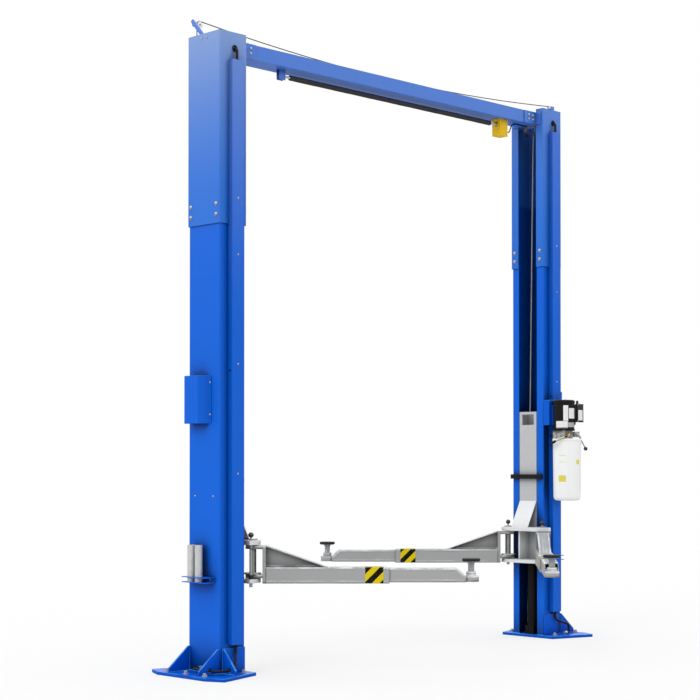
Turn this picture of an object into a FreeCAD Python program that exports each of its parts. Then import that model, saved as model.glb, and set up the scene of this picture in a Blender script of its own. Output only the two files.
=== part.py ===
import FreeCAD, Part
import math
import os
import re
import Sketcher

# Two post car lift, asymmetric, with an overhead beam. Millimetres.
# X runs from the left column to the right one, Z is up, and -Y is the side
# that a car drives in from. The origin is on the floor, midway between the columns.
# Each column is drawn once, about its own centre line, with +X towards the bay,
# and the right one is the left one turned half a turn.

SIZES = {
    # columns, base plates and gussets
    "column_spacing": 2944,
    "lift_height": 3683,
    "column_depth": 190,
    "column_width": 272,
    "column_wall": 6,
    "column_bend": 8,
    "column_mouth": 160,
    "sleeve_rise": 652,
    "sleeve_overlap": 450,
    "sleeve_gap": 0.5,
    "plate_thickness": 19,
    "plate_outer": 268,
    "plate_inner": 107,
    "plate_outer_half": 212,
    "plate_shoulder": 216,
    "plate_shoulder_half": 323,
    "plate_inner_half": 222,
    "anchor_radius": 11,
    "anchor_edge": 40,
    "anchor_pitch": 165,
    "anchor_side": 190,
    "anchor_side_place": 40,
    "gusset_thickness": 10,
    "gusset_length": 150,
    "gusset_top": 160,
    "gusset_nose": 26,
    "gusset_crown": 10,
    "hose_gusset_place": 68,
    "hose_gusset_length": 113,
    "hose_hole_radius": 15,
    "hose_hole_out": 62,
    "hose_hole_lift": 24,
    "hose_pass_out": 72,
    # hose covers
    "cover_start": 62,
    "cover_width": 88,
    "cover_stand": 37,
    "cover_sheet": 2,
    "cover_bottom": 180,
    "cover_drop": 162,
    # overhead beam
    "beam_width": 150,
    "beam_height": 85,
    "beam_drop": 23,
    "beam_wall": 5,
    "beam_bracket_length": 125,
    "beam_bracket_wall": 6,
    "beam_bracket_flange": 50,
    # equalizer cable and its pulleys
    "cable_radius": 5,
    "cable_back": 30,
    "cable_top_half": 48,
    "cable_foot_near": 104,
    "cable_foot_far": 28,
    "cable_lift": 42,
    "pulley_radius": 50,
    "pulley_width": 22,
    "pulley_pin_radius": 12,
    "cable_ease": 1.2,
    "groove_flare": 1.15,
    "foot_pulley_lift": 78,
    "foot_cheek": 6,
    "foot_cheek_half": 24,
    "foot_cheek_rise": 20,
    # cylinders
    "cylinder_radius": 35,
    "cylinder_place": 45,
    "cylinder_top": 1080,
    "cylinder_foot_side": 75,
    "cylinder_foot_top": 78,
    # carriages
    "carriage_level": 522,
    "mast_half": 75,
    "mast_depth": 100,
    "mast_wall": 8,
    "mast_height": 1049,
    "window_drop": 91,
    "window_half": 52,
    "window_edge": 18,
    "slider_gap": 0.9,
    "slider_height": 160,
    "slider_depth": 64,
    "bracket_gap": 6,
    "plate_low_thickness": 23,
    "plate_clear": 197,
    "plate_high_thickness": 26,
    "bracket_round": 45,
    "bracket_neck": 70,
    "bracket_low_inner": 65,
    "bracket_low_outer": 36,
    "bracket_chamfer": 40,
    "web_aside": -4,
    "web_inset": 40,
    "web_thickness": 12,
    "cover_plate_rise": 182,
    "cover_plate_half": 72,
    "cover_plate_out": 97,
    "cover_plate_sheet": 7,
    "guard_lift": 581,
    "guard_height": 31,
    "guard_half_left": 100,
    "guard_half_right": 134,
    "guard_depth": 22,
    # arm pivots, in the column's frame
    "pin_radius": 19,
    "pin_gap": 0.08,
    "pin_head_radius": 26,
    "pin_head": 8,
    "short_pivot_out": 184,
    "short_pivot_aside": -108,
    "long_pivot_out": 172,
    "long_pivot_aside": 190,
    "short_lock_out": 129,
    "short_lock_aside": -152,
    "long_lock_out": 119,
    "long_lock_aside": 144,
    # arms, along their own length from the pivot
    "short_heading": 315,
    "long_heading_left": 50,
    "long_heading_right": 40.5,
    "short_outer_end": 790,
    "short_pad_place": 1265,
    "long_outer_end": 880,
    "long_pad_place": 1431,
    "inner_overlap": 230,
    "inner_bevel": 85,
    "yoke_half": 44,
    "yoke_thickness": 20,
    "yoke_gap": 5,
    "end_plate_near": 57,
    "end_plate_thickness": 19,
    "end_plate_half": 50,
    "end_plate_drop": 4,
    "arm_drop": 3,
    "arm_height": 94,
    "arm_half": 50,
    "arm_wall": 6,
    "inner_gap": 0.4,
    "rib_end": 430,
    "rib_thickness": 10,
    "rib_cap_half": 40,
    "rib_cap_thickness": 8,
    "gear_radius": 46,
    "gear_root": 2,
    "gear_tooth": 5,
    "gear_thickness": 10,
    "gear_teeth": 21,
    "gear_start": 60,
    "gear_sweep": 240,
    "gear_root_half": 4,
    "gear_tip_half": 2,
    # pads
    "socket_radius": 45,
    "socket_lift": 9,
    "socket_height": 34,
    "socket_bite": 14,
    "collar_radius": 29,
    "collar_height": 24,
    "stem_radius": 19,
    "stem_gap": 0.08,
    "cup_lift": 54,
    "cup_radius": 48,
    "cup_thickness": 6,
    "pad_radius": 52.5,
    "pad_height": 16,
    # spring pins that lock the arms
    "lock_radius": 9.5,
    "lock_rod_radius": 5,
    "lock_hole_gap": 0.1,
    "lock_tip": 22,
    "lock_shoulder": 29,
    "lock_ball_radius": 16,
    "lock_ball_rise": 32,
    "lock_block_reach": 12.5,
    "lock_block_height": 22,
    "lock_block_lift": 2,
    # lock covers on the outer faces
    "lock_cover_bottom": 1440,
    "lock_cover_height": 275,
    "lock_cover_low": -64,
    "lock_cover_high": 106,
    "lock_cover_stand": 60,
    "lock_cover_flat": 120,
    "lock_cover_flange": 18,
    "lock_cover_sheet": 3,
    # racks with the pad adapters
    "rack_level": 565,
    "rack_sheet": 5,
    "rack_low": -97,
    "rack_high": 110,
    "rack_stand": 75,
    "rack_first": -68,
    "rack_pitch": 66,
    "rack_out": 42,
    "rack_drop": 29,
    "adapter_radius": 22,
    "adapter_bore": 17,
    "adapter_height": 210,
    "adapter_gap": 0.3,
    # power unit on the right column's front face
    "unit_inset": 22,
    "unit_out": 149,
    "tank_radius": 97,
    "tank_bottom": 955,
    "tank_height": 426,
    "tank_round": 30,
    "tank_wall": 4,
    "pump_side": 96,
    "pump_height": 55,
    "pump_aside": -12,
    "pump_back": 27,
    "valve_reach": 49,
    "valve_width": 34,
    "valve_front": 10,
    "valve_lift": 11,
    "valve_height": 38,
    "motor_aside": -5,
    "motor_back": 23,
    "motor_radius": 72,
    "motor_height": 189,
    "motor_flange": 12,
    "motor_cap_radius": 76,
    "motor_cap_height": 19,
    "unit_bracket_left": 93,
    "unit_bracket_right": 68,
    "unit_bracket_lift": 40,
    "unit_bracket_height": 174,
    "unit_bracket_sheet": 6,
    "unit_pad_short": 40,
    "unit_pad_bite": 8,
    "box_near": 50,
    "box_far": 116,
    "box_front": 51,
    "box_depth": 56,
    "box_lift": 61,
    "box_height": 123,
    "lever_gap": 0.3,
    "lever_reach": 18,
    "lever_drop_in": 12,
    "lever_tilt": 32.5,
    "lever_radius": 4,
    "lever_ball_radius": 14,
    "lever_drop": 108,
    "lever_hub_radius": 9,
    # shut-off bar under the beam
    "hinge_inset": 501,
    "bar_hang": 37,
    "bar_radius": 7,
    "foam_radius": 16.5,
    "foam_start": 72,
    "foam_short": 93,
    "bar_inset": 410,
    "hinge_plate_half": 24,
    "hinge_plate_sheet": 5,
    "hinge_pin_radius": 5,
    "hinge_gap": 1,
    "switch_bite": 27,
    "switch_length": 80,
    "switch_half": 32,
    "switch_hang": 114,
    "switch_slot_half": 12,
    "switch_slot_rise": 21,
    "switch_slot_past": 10,
    "eye_radius": 13,
    "eye_width": 16,
    # cable that frees both locks
    "release_radius": 3,
    "release_left_out": 66,
    "release_left_y": 104,
    "release_left_rise": 102,
    "release_right_out": 38,
    "release_right_y": -104,
    "release_right_rise": 34,
    "release_sag": 68,
    "release_wheel_radius": 20,
    "release_wheel_width": 10,
    "release_left_drop": 22.4,
    "release_right_drop": 21.4,
    "release_drop": 120,
    "release_sheet": 8,
    "release_foot": 90,
    "release_arm_back": 45,
    "release_tip_half": 16,
    "release_tip_top": 8,
    "release_tip_bottom": 30,
    "release_tab": 14,
    # hydraulic hoses
    "hose_radius": 7.5,
    "hose_port_place": 105,
    "hose_port_radius": 15,
    "hose_port_lift": 15,
    "hose_tuck": 34,
    "hose_start": 5,
    "hose_seat": 0.3,
    "hose_bend": 21,
    "hose_foot_bend": 40,
    "hose_end_bend": 12,
    "hose_drop_level": 124,
    "hose_kick": 38,
    "fitting_radius": 11,
    "fitting_length": 26,
    "foot_fitting_aside": 14,
    "pressure_inset": 20,
    "pressure_bend": 28,
    "plate_fitting_out": 100,
    "plate_fitting_aside": 50,
    "plate_hose_level": 86,
}

# Levels and places that follow from the sizes above.
DERIVED = {
    "column_height": "lift_height - sleeve_rise",
    "sleeve_bottom": "column_height - sleeve_overlap",
    "cover_top": "lift_height - cover_drop",
    "beam_top": "lift_height - beam_drop",
    "beam_bottom": "beam_top - beam_height",
    "cable_level": "beam_bottom + cable_lift",
    "plate_low_bottom": "carriage_level",
    "plate_low_top": "plate_low_bottom + plate_low_thickness",
    "plate_high_bottom": "plate_low_top + plate_clear",
    "plate_high_top": "plate_high_bottom + plate_high_thickness",
    "cover_plate_top": "plate_high_top + cover_plate_rise",
    "mast_bottom": "carriage_level",
    "mast_top": "mast_bottom + mast_height",
    "window_bottom": "mast_top - window_drop",
    "window_top": "mast_top - window_edge",
    "guard_bottom": "carriage_level + guard_lift",
    "guard_top": "guard_bottom + guard_height",
    "end_plate_top": "plate_high_bottom - end_plate_drop",
    "arm_bottom": "carriage_level - arm_drop",
    "socket_bottom": "arm_bottom + socket_lift",
    "socket_top": "socket_bottom + socket_height",
    "collar_top": "socket_top + collar_height",
    "cup_bottom": "collar_top + cup_lift",
    "pad_top": "cup_bottom + cup_thickness + pad_height",
    "lock_bottom": "plate_low_bottom - lock_tip",
    "lock_top": "plate_high_bottom - lock_shoulder",
    "lock_ball_level": "plate_high_top + lock_ball_rise",
    "lock_cover_top": "lock_cover_bottom + lock_cover_height",
    "adapter_bottom": "rack_level - rack_drop",
    "adapter_top": "adapter_bottom + adapter_height",
    "unit_x": "column_spacing / 2 - unit_inset",
    "unit_y": "-column_width / 2 - unit_out",
    "tank_top": "tank_bottom + tank_height",
    "pump_x": "unit_x + pump_aside",
    "pump_y": "unit_y + pump_back",
    "pump_top": "tank_top + pump_height",
    "valve_y": "unit_y - valve_front - valve_width / 2",
    "motor_x": "unit_x + motor_aside",
    "motor_y": "unit_y + motor_back",
    "motor_top": "pump_top + motor_height",
    "motor_cap_top": "motor_top + motor_cap_height",
    "unit_bracket_bottom": "pump_top + unit_bracket_lift",
    "unit_bracket_top": "unit_bracket_bottom + unit_bracket_height",
    "box_bottom": "pump_top + box_lift",
    "lever_x": "pump_x + pump_side / 2 + valve_reach + lever_gap",
    "lever_level": "tank_top + valve_lift + lever_drop_in",
    "bar_level": "beam_bottom - bar_hang",
    "hinge_x": "-column_spacing / 2 + hinge_inset",
    "foam_left": "hinge_x + foam_start",
    "bar_right": "column_spacing / 2 - bar_inset",
    "foam_right": "bar_right - foam_short",
    "switch_left": "bar_right - switch_bite",
    "switch_right": "switch_left + switch_length",
    "switch_bottom": "beam_bottom - switch_hang",
    "switch_slot_end": "bar_right + switch_slot_past",
    "release_left_x": "-column_spacing / 2 - release_left_out",
    "release_left_level": "lift_height + release_left_rise",
    "release_right_x": "column_spacing / 2 + release_right_out",
    "release_right_level": "lift_height + release_right_rise",
    "hose_port_level": "beam_bottom + hose_port_lift",
    "foot_hose_level": "plate_thickness + hose_hole_lift",
    "plate_fitting_x": "column_spacing / 2 + plate_fitting_out",
    "plate_fitting_y": "-column_width / 2 - plate_fitting_aside",
}

SIDES = {"left": -1, "right": 1}

doc = FreeCAD.newDocument("car_lift")
kept = []


def make_sheet():
    sheet = doc.addObject("Spreadsheet::Sheet", "Sizes")
    for row, (alias, size) in enumerate(SIZES.items(), start=1):
        sheet.set(f"A{row}", alias)
        sheet.set(f"B{row}", str(size))
        sheet.setAlias(f"B{row}", alias)
    doc.recompute()


def spelled(word):
    name = word.group()
    if name in DERIVED:
        return f"({bound(DERIVED[name])})"
    return f"Sizes.{name}" if name in SIZES else name


def bound(text):
    """The expression spelled out in the sheet's sizes."""
    return re.sub(r"[a-z_]{3,}", spelled, str(text))


def value(text):
    """The length that an expression comes to."""
    return float(doc.getObject("Sizes").evalExpression(bound(text)))


def bind(thing, prop, text):
    thing.setExpression(prop, bound(text))


def move(thing, x="0", y="0", z="0", turn=0, axis=(0, 0, 1)):
    """Place a piece: its base from the sheet, its turn in degrees about an axis."""
    thing.Placement = FreeCAD.Placement(FreeCAD.Vector(), FreeCAD.Rotation(FreeCAD.Vector(*axis), turn))
    for prop, text in zip("xyz", (x, y, z)):
        bind(thing, f"Placement.Base.{prop}", text)
    return thing


def keep(thing, label):
    thing.Label = label
    kept.append(thing)
    return thing


def block(low, high):
    """A box between two corners, each a triple of expressions."""
    box = doc.addObject("Part::Box", "Block")
    for prop, lower, upper in zip(("Length", "Width", "Height"), low, high):
        bind(box, prop, f"({upper}) - ({lower})")
    return move(box, *low)


def rod(radius, low, length, axis="z"):
    """A cylinder from a base point along x, y or z."""
    cylinder = doc.addObject("Part::Cylinder", "Rod")
    bind(cylinder, "Radius", radius)
    bind(cylinder, "Height", length)
    turns = {"z": (0, (0, 0, 1)), "x": (90, (0, 1, 0)), "y": (-90, (1, 0, 0))}
    turn, about = turns[axis]
    return move(cylinder, *low, turn=turn, axis=about)


def fuse(*things):
    whole = doc.addObject("Part::MultiFuse", "Fused")
    whole.Shapes = list(things)
    return whole


def cut(base, *tools):
    gone = tools[0] if len(tools) == 1 else fuse(*tools)
    rest = doc.addObject("Part::Cut", "Trimmed")
    rest.Base = base
    rest.Tool = gone
    return rest


def group(*things):
    """Like pieces that don't touch, in one node."""
    several = doc.addObject("Part::Compound", "Group")
    several.Links = list(things)
    return several


def plane_of(body, role):
    return next(item for item in body.Origin.OriginFeatures if item.Role == role)


def sketch_on(body, plane, level):
    sketch = body.newObject("Sketcher::SketchObject", "Outline")
    sketch.AttachmentSupport = [(plane_of(body, f"{plane}_Plane"), "")]
    sketch.MapMode = "FlatFace"
    sign = "-" if plane == "XZ" else ""
    sketch.setExpression("AttachmentOffset.Base.z", bound(f"{sign}({level})"))
    return sketch


def draw(sketch, points):
    """A closed outline whose corners are held by expressions."""
    count = len(points)
    start = [FreeCAD.Rotation(FreeCAD.Vector(0, 0, 1), 360 * index / count).multVec(FreeCAD.Vector(100, 0, 0))
             for index in range(count)]
    for index in range(count):
        sketch.addGeometry(Part.LineSegment(start[index], start[(index + 1) % count]), False)
    for index in range(count):
        sketch.addConstraint(Sketcher.Constraint("Coincident", index, 2, (index + 1) % count, 1))
    for index, point in enumerate(points):
        for kind, text, place in zip(("DistanceX", "DistanceY"), point, start[index]):
            held = sketch.addConstraint(Sketcher.Constraint(kind, -1, 1, index, 1, place))
            sketch.setExpression(f"Constraints[{held}]", bound(text))


def slab(plane, points, level, thickness):
    """A body padded both ways from an outline on a plane at a level."""
    body = doc.addObject("PartDesign::Body", "Body")
    sketch = sketch_on(body, plane, level)
    draw(sketch, points)
    pad = body.newObject("PartDesign::Pad", "Pad")
    pad.Profile = sketch
    pad.Midplane = True
    bind(pad, "Length", thickness)
    doc.recompute()
    return body


def drill(body, plane, centres, radius):
    """Round holes right through a body."""
    sketch = sketch_on(body, plane, "0")
    for index, centre in enumerate(centres):
        sketch.addGeometry(Part.Circle(FreeCAD.Vector(10 * index, 0, 0), FreeCAD.Vector(0, 0, 1), 3), False)
        for kind, text, place in zip(("DistanceX", "DistanceY"), centre, (10 * index, 0)):
            held = sketch.addConstraint(Sketcher.Constraint(kind, -1, 1, index, 3, place))
            sketch.setExpression(f"Constraints[{held}]", bound(text))
        held = sketch.addConstraint(Sketcher.Constraint("Radius", index, 3))
        sketch.setExpression(f"Constraints[{held}]", bound(radius))
    pocket = body.newObject("PartDesign::Pocket", "Holes")
    pocket.Profile = sketch
    pocket.Type = "ThroughAll"
    pocket.Midplane = True
    doc.recompute()
    return body


def soften(body, radius, wanted):
    """Round the straight edges that a test picks by their middle and direction."""
    base = body.Tip
    names = []
    for index, edge in enumerate(base.Shape.Edges, start=1):
        if edge.Curve.TypeId != "Part::GeomLine":
            continue
        way = edge.Vertexes[-1].Point - edge.Vertexes[0].Point
        if wanted(edge.CenterOfMass, way.normalize()):
            names.append(f"Edge{index}")
    fillet = body.newObject("PartDesign::Fillet", "Rounding")
    fillet.Base = (base, names)
    bind(fillet, "Radius", radius)
    doc.recompute()
    return body


def turned(points):
    """A body of revolution about z from half an outline of radius and level."""
    body = doc.addObject("PartDesign::Body", "Body")
    sketch = sketch_on(body, "XZ", "0")
    draw(sketch, points)
    spin = body.newObject("PartDesign::Revolution", "Turned")
    spin.Profile = sketch
    spin.ReferenceAxis = (sketch, ["V_Axis"])
    spin.Angle = 360
    doc.recompute()
    return body


def ball(radius, centre):
    """A round knob of eight turned bands."""
    steps = [-90 + 22.5 * index for index in range(9)]
    points = [(f"{radius} * cos({step})", f"{radius} * sin({step})") for step in steps[1:-1]]
    return move(group(turned([("0", f"-({radius})"), *points, ("0", radius)])), *centre)


def upright(way):
    return abs(way.z) > 0.99


def at_column(thing, side):
    """Stand a piece drawn about the column's centre line on its side of the lift."""
    sign = SIDES[side]
    return move(group(thing), x=f"{sign} * column_spacing / 2", turn=180 if sign > 0 else 0)


def at_columns(make):
    """The same piece at both columns, in one node."""
    return group(*[at_column(make(), side) for side in SIDES])


def base_plate():
    points = [("-plate_outer", "-plate_outer_half"), ("-plate_shoulder", "-plate_shoulder_half"),
              ("plate_inner", "-plate_inner_half"), ("plate_inner", "plate_inner_half"),
              ("-plate_shoulder", "plate_shoulder_half"), ("-plate_outer", "plate_outer_half")]
    plate = slab("XY", points, "plate_thickness / 2", "plate_thickness")
    outer = "-plate_outer + anchor_edge"
    side = "anchor_side_place"
    centres = [(outer, "-anchor_pitch"), (outer, "0"), (outer, "anchor_pitch"),
               (side, "-anchor_side"), (side, "anchor_side")]
    return drill(plate, "XY", centres, "anchor_radius")


def channel(depth, width, wall, mouth, bottom, top):
    """A bent sheet channel, open towards the bay."""
    front = f"({depth}) / 2"
    side = f"({width}) / 2"
    lip = f"({mouth}) / 2"
    points = [(f"-{front}", f"-{side}"), (front, f"-{side}"), (front, f"-{lip}"),
              (f"{front} - {wall}", f"-{lip}"), (f"{front} - {wall}", f"-{side} + {wall}"),
              (f"-{front} + {wall}", f"-{side} + {wall}"), (f"-{front} + {wall}", f"{side} - {wall}"),
              (f"{front} - {wall}", f"{side} - {wall}"), (f"{front} - {wall}", lip),
              (front, lip), (front, side), (f"-{front}", side)]
    body = slab("XY", points, f"(({bottom}) + ({top})) / 2", f"({top}) - ({bottom})")
    box = body.Shape.BoundBox
    near = SIZES["column_wall"] / 2

    def outer_bend(middle, way):
        return upright(way) and abs(abs(middle.x) - box.XMax) < near and abs(abs(middle.y) - box.YMax) < near

    def inner_bend(middle, way):
        inside = SIZES["column_wall"] * 1.5
        return (upright(way) and near < abs(abs(middle.x) - box.XMax) < inside
                and near < abs(abs(middle.y) - box.YMax) < inside)

    soften(body, "column_bend", outer_bend)
    return soften(body, "column_bend - column_wall", inner_bend)


def column():
    return channel("column_depth", "column_width", "column_wall", "column_mouth",
                   "plate_thickness", "column_height")


def sleeve():
    grown = "2 * (column_wall + sleeve_gap)"
    return channel(f"column_depth + {grown}", f"column_width + {grown}", "column_wall", "column_mouth",
                   "sleeve_bottom", "lift_height")


def outward_gusset(sign):
    face = "-column_depth / 2"
    tip = "-column_depth / 2 - gusset_length"
    points = [(face, "plate_thickness"), (tip, "plate_thickness"), (tip, "plate_thickness + gusset_nose"),
              (f"{face} - gusset_crown", "gusset_top"), (face, "gusset_top")]
    body = slab("XZ", points, f"{sign} * (column_width / 2 - gusset_thickness / 2)", "gusset_thickness")
    if sign > 0:
        return body
    return drill(body, "XZ", [(f"{face} - hose_pass_out", "plate_thickness + hose_hole_lift")], "hose_hole_radius")


def hose_gusset():
    face = "-column_width / 2"
    tip = "-column_width / 2 - hose_gusset_length"
    points = [(face, "plate_thickness"), (tip, "plate_thickness"), (tip, "plate_thickness + gusset_nose"),
              (f"{face} - gusset_crown", "gusset_top"), (face, "gusset_top")]
    body = slab("YZ", points, "-hose_gusset_place", "gusset_thickness")
    centre = ("-column_width / 2 - hose_hole_out", "plate_thickness + hose_hole_lift")
    return drill(body, "YZ", [centre], "hose_hole_radius")


def base_gussets():
    pieces = []
    for side in SIDES:
        for thing in (outward_gusset(-1), outward_gusset(1), hose_gusset()):
            pieces.append(at_column(thing, side))
    return group(*pieces)


def hose_cover(side):
    """A folded sheet channel on the column's front face, stepped over the sleeve."""
    left = f"{SIDES[side]} * column_spacing / 2 - column_depth / 2 + cover_start"
    right = f"{left} + cover_width"
    face = "-column_width / 2"
    front = f"{face} - cover_stand"
    shell = block((left, front, "cover_bottom"), (right, face, "cover_top"))
    hollow = block((f"{left} + cover_sheet", f"{front} + cover_sheet", "cover_bottom"),
                   (f"{right} - cover_sheet", f"{face} + 1", "cover_top"))
    step = block((f"{left} - 1", f"{face} - column_wall - sleeve_gap", "sleeve_bottom"),
                 (f"{right} + 1", f"{face} + 1", "cover_top + 1"))
    return cut(shell, hollow, step)


def overhead_beam():
    end = "column_spacing / 2 - column_depth / 2 - column_wall - sleeve_gap"
    half = "beam_width / 2"
    shell = block((f"-({end})", f"-{half}", "beam_bottom"), (end, half, "beam_top"))
    hollow = block((f"-({end})", f"-{half} + beam_wall", "beam_bottom + beam_wall"),
                   (end, f"{half} - beam_wall", "beam_top - beam_wall"))
    return cut(shell, hollow)


def beam_bracket(sign):
    """An angle that bolts the beam's side to the sleeve's lip."""
    lip = "column_depth / 2 + column_wall + sleeve_gap"
    near = "beam_width / 2"
    points = [(lip, near), (f"{lip} + beam_bracket_length", near),
              (f"{lip} + beam_bracket_length", f"{near} + beam_bracket_wall"),
              (f"{lip} + beam_bracket_wall", f"{near} + beam_bracket_wall"),
              (f"{lip} + beam_bracket_wall", f"{near} + beam_bracket_flange"),
              (lip, f"{near} + beam_bracket_flange")]
    if sign < 0:
        points = [(out, f"-({aside})") for out, aside in reversed(points)]
    return slab("XY", points, "(beam_bottom + beam_top) / 2", "beam_top - beam_bottom")


def beam_brackets():
    return group(*[at_column(beam_bracket(sign), side) for side in SIDES for sign in (-1, 1)])


def wheel(radius, width, centre, axis, groove="cable_radius + cable_ease", pin="pulley_pin_radius"):
    """A grooved pulley about x or y, with a bore for its pin."""
    half = f"{width} / 2"
    bore = f"{pin} + pin_gap"
    floor = f"{radius} - ({groove})"
    rim = f"({groove}) * groove_flare"
    points = [(bore, f"-{half}"), (radius, f"-{half}"), (radius, f"-({rim})"), (floor, f"-({groove})"),
              (floor, groove), (radius, rim), (radius, half), (bore, half)]
    return move(group(turned(points)), *centre, turn=90, axis=(1, 0, 0) if axis == "y" else (0, 1, 0))


def top_wheels():
    centre_x = "-cable_back + pulley_radius"
    level = "cable_level - pulley_radius"
    return [wheel("pulley_radius", "pulley_width", (centre_x, f"{sign} * cable_top_half", level), "y")
            for sign in (-1, 1)]


def foot_wheel():
    middle = "-(cable_foot_near + cable_foot_far) / 2"
    return wheel("((cable_foot_near - cable_foot_far) / 2)", "pulley_width",
                 ("-cable_back", middle, "foot_pulley_lift"), "x")


def cable_pulleys():
    return group(*[at_column(thing, side) for side in SIDES for thing in top_wheels() + [foot_wheel()]])


def pulley_pin():
    half = "column_width / 2 + sleeve_gap"
    return rod("pulley_pin_radius", ("-cable_back + pulley_radius", f"-({half})", "cable_level - pulley_radius"),
               f"2 * ({half})", "y")


def foot_bracket():
    """Two cheeks on the base plate with the foot pulley's pin between them."""
    middle = "-(cable_foot_near + cable_foot_far) / 2"
    cheeks = []
    for sign in (-1, 1):
        near = f"-cable_back + {sign} * (pulley_width / 2 + 1)"
        far = f"-cable_back + {sign} * (pulley_width / 2 + 1 + foot_cheek)"
        low, high = (far, near) if sign < 0 else (near, far)
        cheeks.append(block((low, f"{middle} - foot_cheek_half", "plate_thickness"),
                            (high, f"{middle} + foot_cheek_half", "foot_pulley_lift + foot_cheek_rise")))
    pin = rod("pulley_pin_radius", ("-cable_back - pulley_width / 2 - 1 - foot_cheek", middle, "foot_pulley_lift"),
              "pulley_width + 2 + 2 * foot_cheek", "x")
    return fuse(pin, *cheeks)


def pulley_brackets():
    return group(*[at_column(thing, side) for side in SIDES for thing in (pulley_pin(), foot_bracket())])


def pipe_solid(points, radius, rounds):
    """A round bar along straight runs joined by one arc at each corner."""
    bends = {}
    for index, bend in enumerate(rounds, start=1):
        corner = points[index]
        back = (points[index - 1] - corner).normalize()
        ahead = (points[index + 1] - corner).normalize()
        half = back.getAngle(ahead) / 2
        reach = bend / math.tan(half)
        inward = (back + ahead).normalize()
        middle = corner + inward * (bend / math.sin(half) - bend)
        bends[index] = (corner + back * reach, middle, corner + ahead * reach)
    edges = []
    for index in range(len(points) - 1):
        after = index + 1
        start = bends[index][2] if index in bends else points[index]
        finish = bends[after][0] if after in bends else points[after]
        edges.append(Part.LineSegment(start, finish).toShape())
        if after in bends:
            edges.append(Part.Arc(*bends[after]).toShape())
    first = edges[0].Vertexes[0].Point
    ring = Part.Circle(first, edges[0].tangentAt(edges[0].FirstParameter), radius)
    return Part.Wire(edges).makePipeShell([Part.Wire([ring.toShape()])], True, False)


def feature(label, shape):
    thing = doc.addObject("Part::Feature", "Feature")
    thing.Shape = shape
    thing.Label = label
    return thing


def spot(x, y, z):
    return FreeCAD.Vector(x, y, z)


def equalizer_cable():
    """One closed loop: down each column, round its foot pulley, and through the beam."""
    out = value("column_spacing / 2 + cable_back")
    top = value("cable_level")
    wrap = value("(cable_foot_near - cable_foot_far) / 2")
    foot = value("foot_pulley_lift") - wrap
    half = value("cable_top_half")
    near = value("cable_foot_near")
    far = value("cable_foot_far")
    bend = value("pulley_radius")
    rounds = [bend, wrap - 1, wrap - 1, bend]
    halves = []
    for sign in (1, -1):
        points = [spot(0, sign * half, top), spot(sign * out, sign * half, top),
                  spot(sign * out, sign * near, foot), spot(sign * out, sign * far, foot),
                  spot(sign * out, -sign * half, top), spot(0, -sign * half, top)]
        halves.append(pipe_solid(points, value("cable_radius"), rounds))
    return feature("equalizer_cable", halves[0].fuse(halves[1]))


def lift_cylinder():
    """The barrel on its foot block, inside the mast."""
    half = "cylinder_foot_side / 2"
    foot = block((f"cylinder_place - {half}", f"-{half}", "plate_thickness"),
                 (f"cylinder_place + {half}", half, "cylinder_foot_top"))
    barrel = rod("cylinder_radius", ("cylinder_place", "0", "cylinder_foot_top"),
                 "cylinder_top - cylinder_foot_top")
    return fuse(foot, barrel)


def mast():
    """A tube that slides in the column on four blocks behind the lips."""
    face = "column_depth / 2"
    back = f"{face} - mast_depth"
    shell = block((back, "-mast_half", "mast_bottom"), (face, "mast_half", "mast_top"))
    hollow = block((f"{back} + mast_wall", "-mast_half + mast_wall", "mast_bottom"),
                   (f"{face} - mast_wall", "mast_half - mast_wall", "mast_top"))
    window = block((f"{face} - mast_wall", "-window_half", "window_bottom"),
                   (face, "window_half", "window_top"))
    front = "column_depth / 2 - column_wall - slider_gap"
    reach = "column_width / 2 - column_wall - slider_gap"
    ears = []
    for bottom in ("mast_bottom", "mast_top - slider_height"):
        for low, high in ((f"-({reach})", "-mast_half"), ("mast_half", reach)):
            ears.append(block((f"{front} - slider_depth", low, bottom),
                              (front, high, f"{bottom} + slider_height")))
    return fuse(cut(shell, hollow, window), *ears)


def bracket_plate(bottom, top, lock):
    """The outline of a pivot plate: round about both pivots, with a neck to the mast."""
    face = "column_depth / 2"
    edge = f"{face} + bracket_gap"
    short = ("short_pivot_out + bracket_round", "short_pivot_aside - bracket_low_outer")
    far = "long_pivot_aside + bracket_round"
    points = [(edge, "short_pivot_aside - bracket_low_inner"), short, ("long_pivot_out + bracket_round", far),
              (f"{edge} + bracket_chamfer", far), (edge, f"{far} - bracket_chamfer"),
              (edge, "bracket_neck"), (face, "bracket_neck"), (face, "-bracket_neck"), (edge, "-bracket_neck")]
    plate = slab("XY", points, f"({bottom} + {top}) / 2", f"{top} - {bottom}")

    def at_pivot(middle, way):
        return upright(way) and middle.x > SIZES["column_depth"]

    soften(plate, "bracket_round - 1", at_pivot)
    pivots = [("short_pivot_out", "short_pivot_aside"), ("long_pivot_out", "long_pivot_aside")]
    drill(plate, "XY", pivots, "pin_radius + pin_gap")
    locks = [("short_lock_out", "short_lock_aside"), ("long_lock_out", "long_lock_aside")]
    return drill(plate, "XY", locks, f"{lock} + lock_hole_gap")


def arm_bracket():
    """Two pivot plates with a web between them and a sloping cover above."""
    face = "column_depth / 2"
    low = bracket_plate("plate_low_bottom", "plate_low_top", "lock_radius")
    high = bracket_plate("plate_high_bottom", "plate_high_top", "lock_rod_radius")
    web = block((face, "web_aside - web_thickness / 2", "plate_low_top"),
                ("short_pivot_out + bracket_round - web_inset", "web_aside + web_thickness / 2",
                 "plate_high_bottom"))
    points = [(face, "cover_plate_top"), (face, "cover_plate_top - 2 * cover_plate_sheet"),
              (f"{face} + cover_plate_out - cover_plate_sheet", "plate_high_top"),
              (f"{face} + cover_plate_out", "plate_high_top")]
    slope = slab("XZ", points, "0", "2 * cover_plate_half")
    return fuse(low, high, web, slope)


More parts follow.
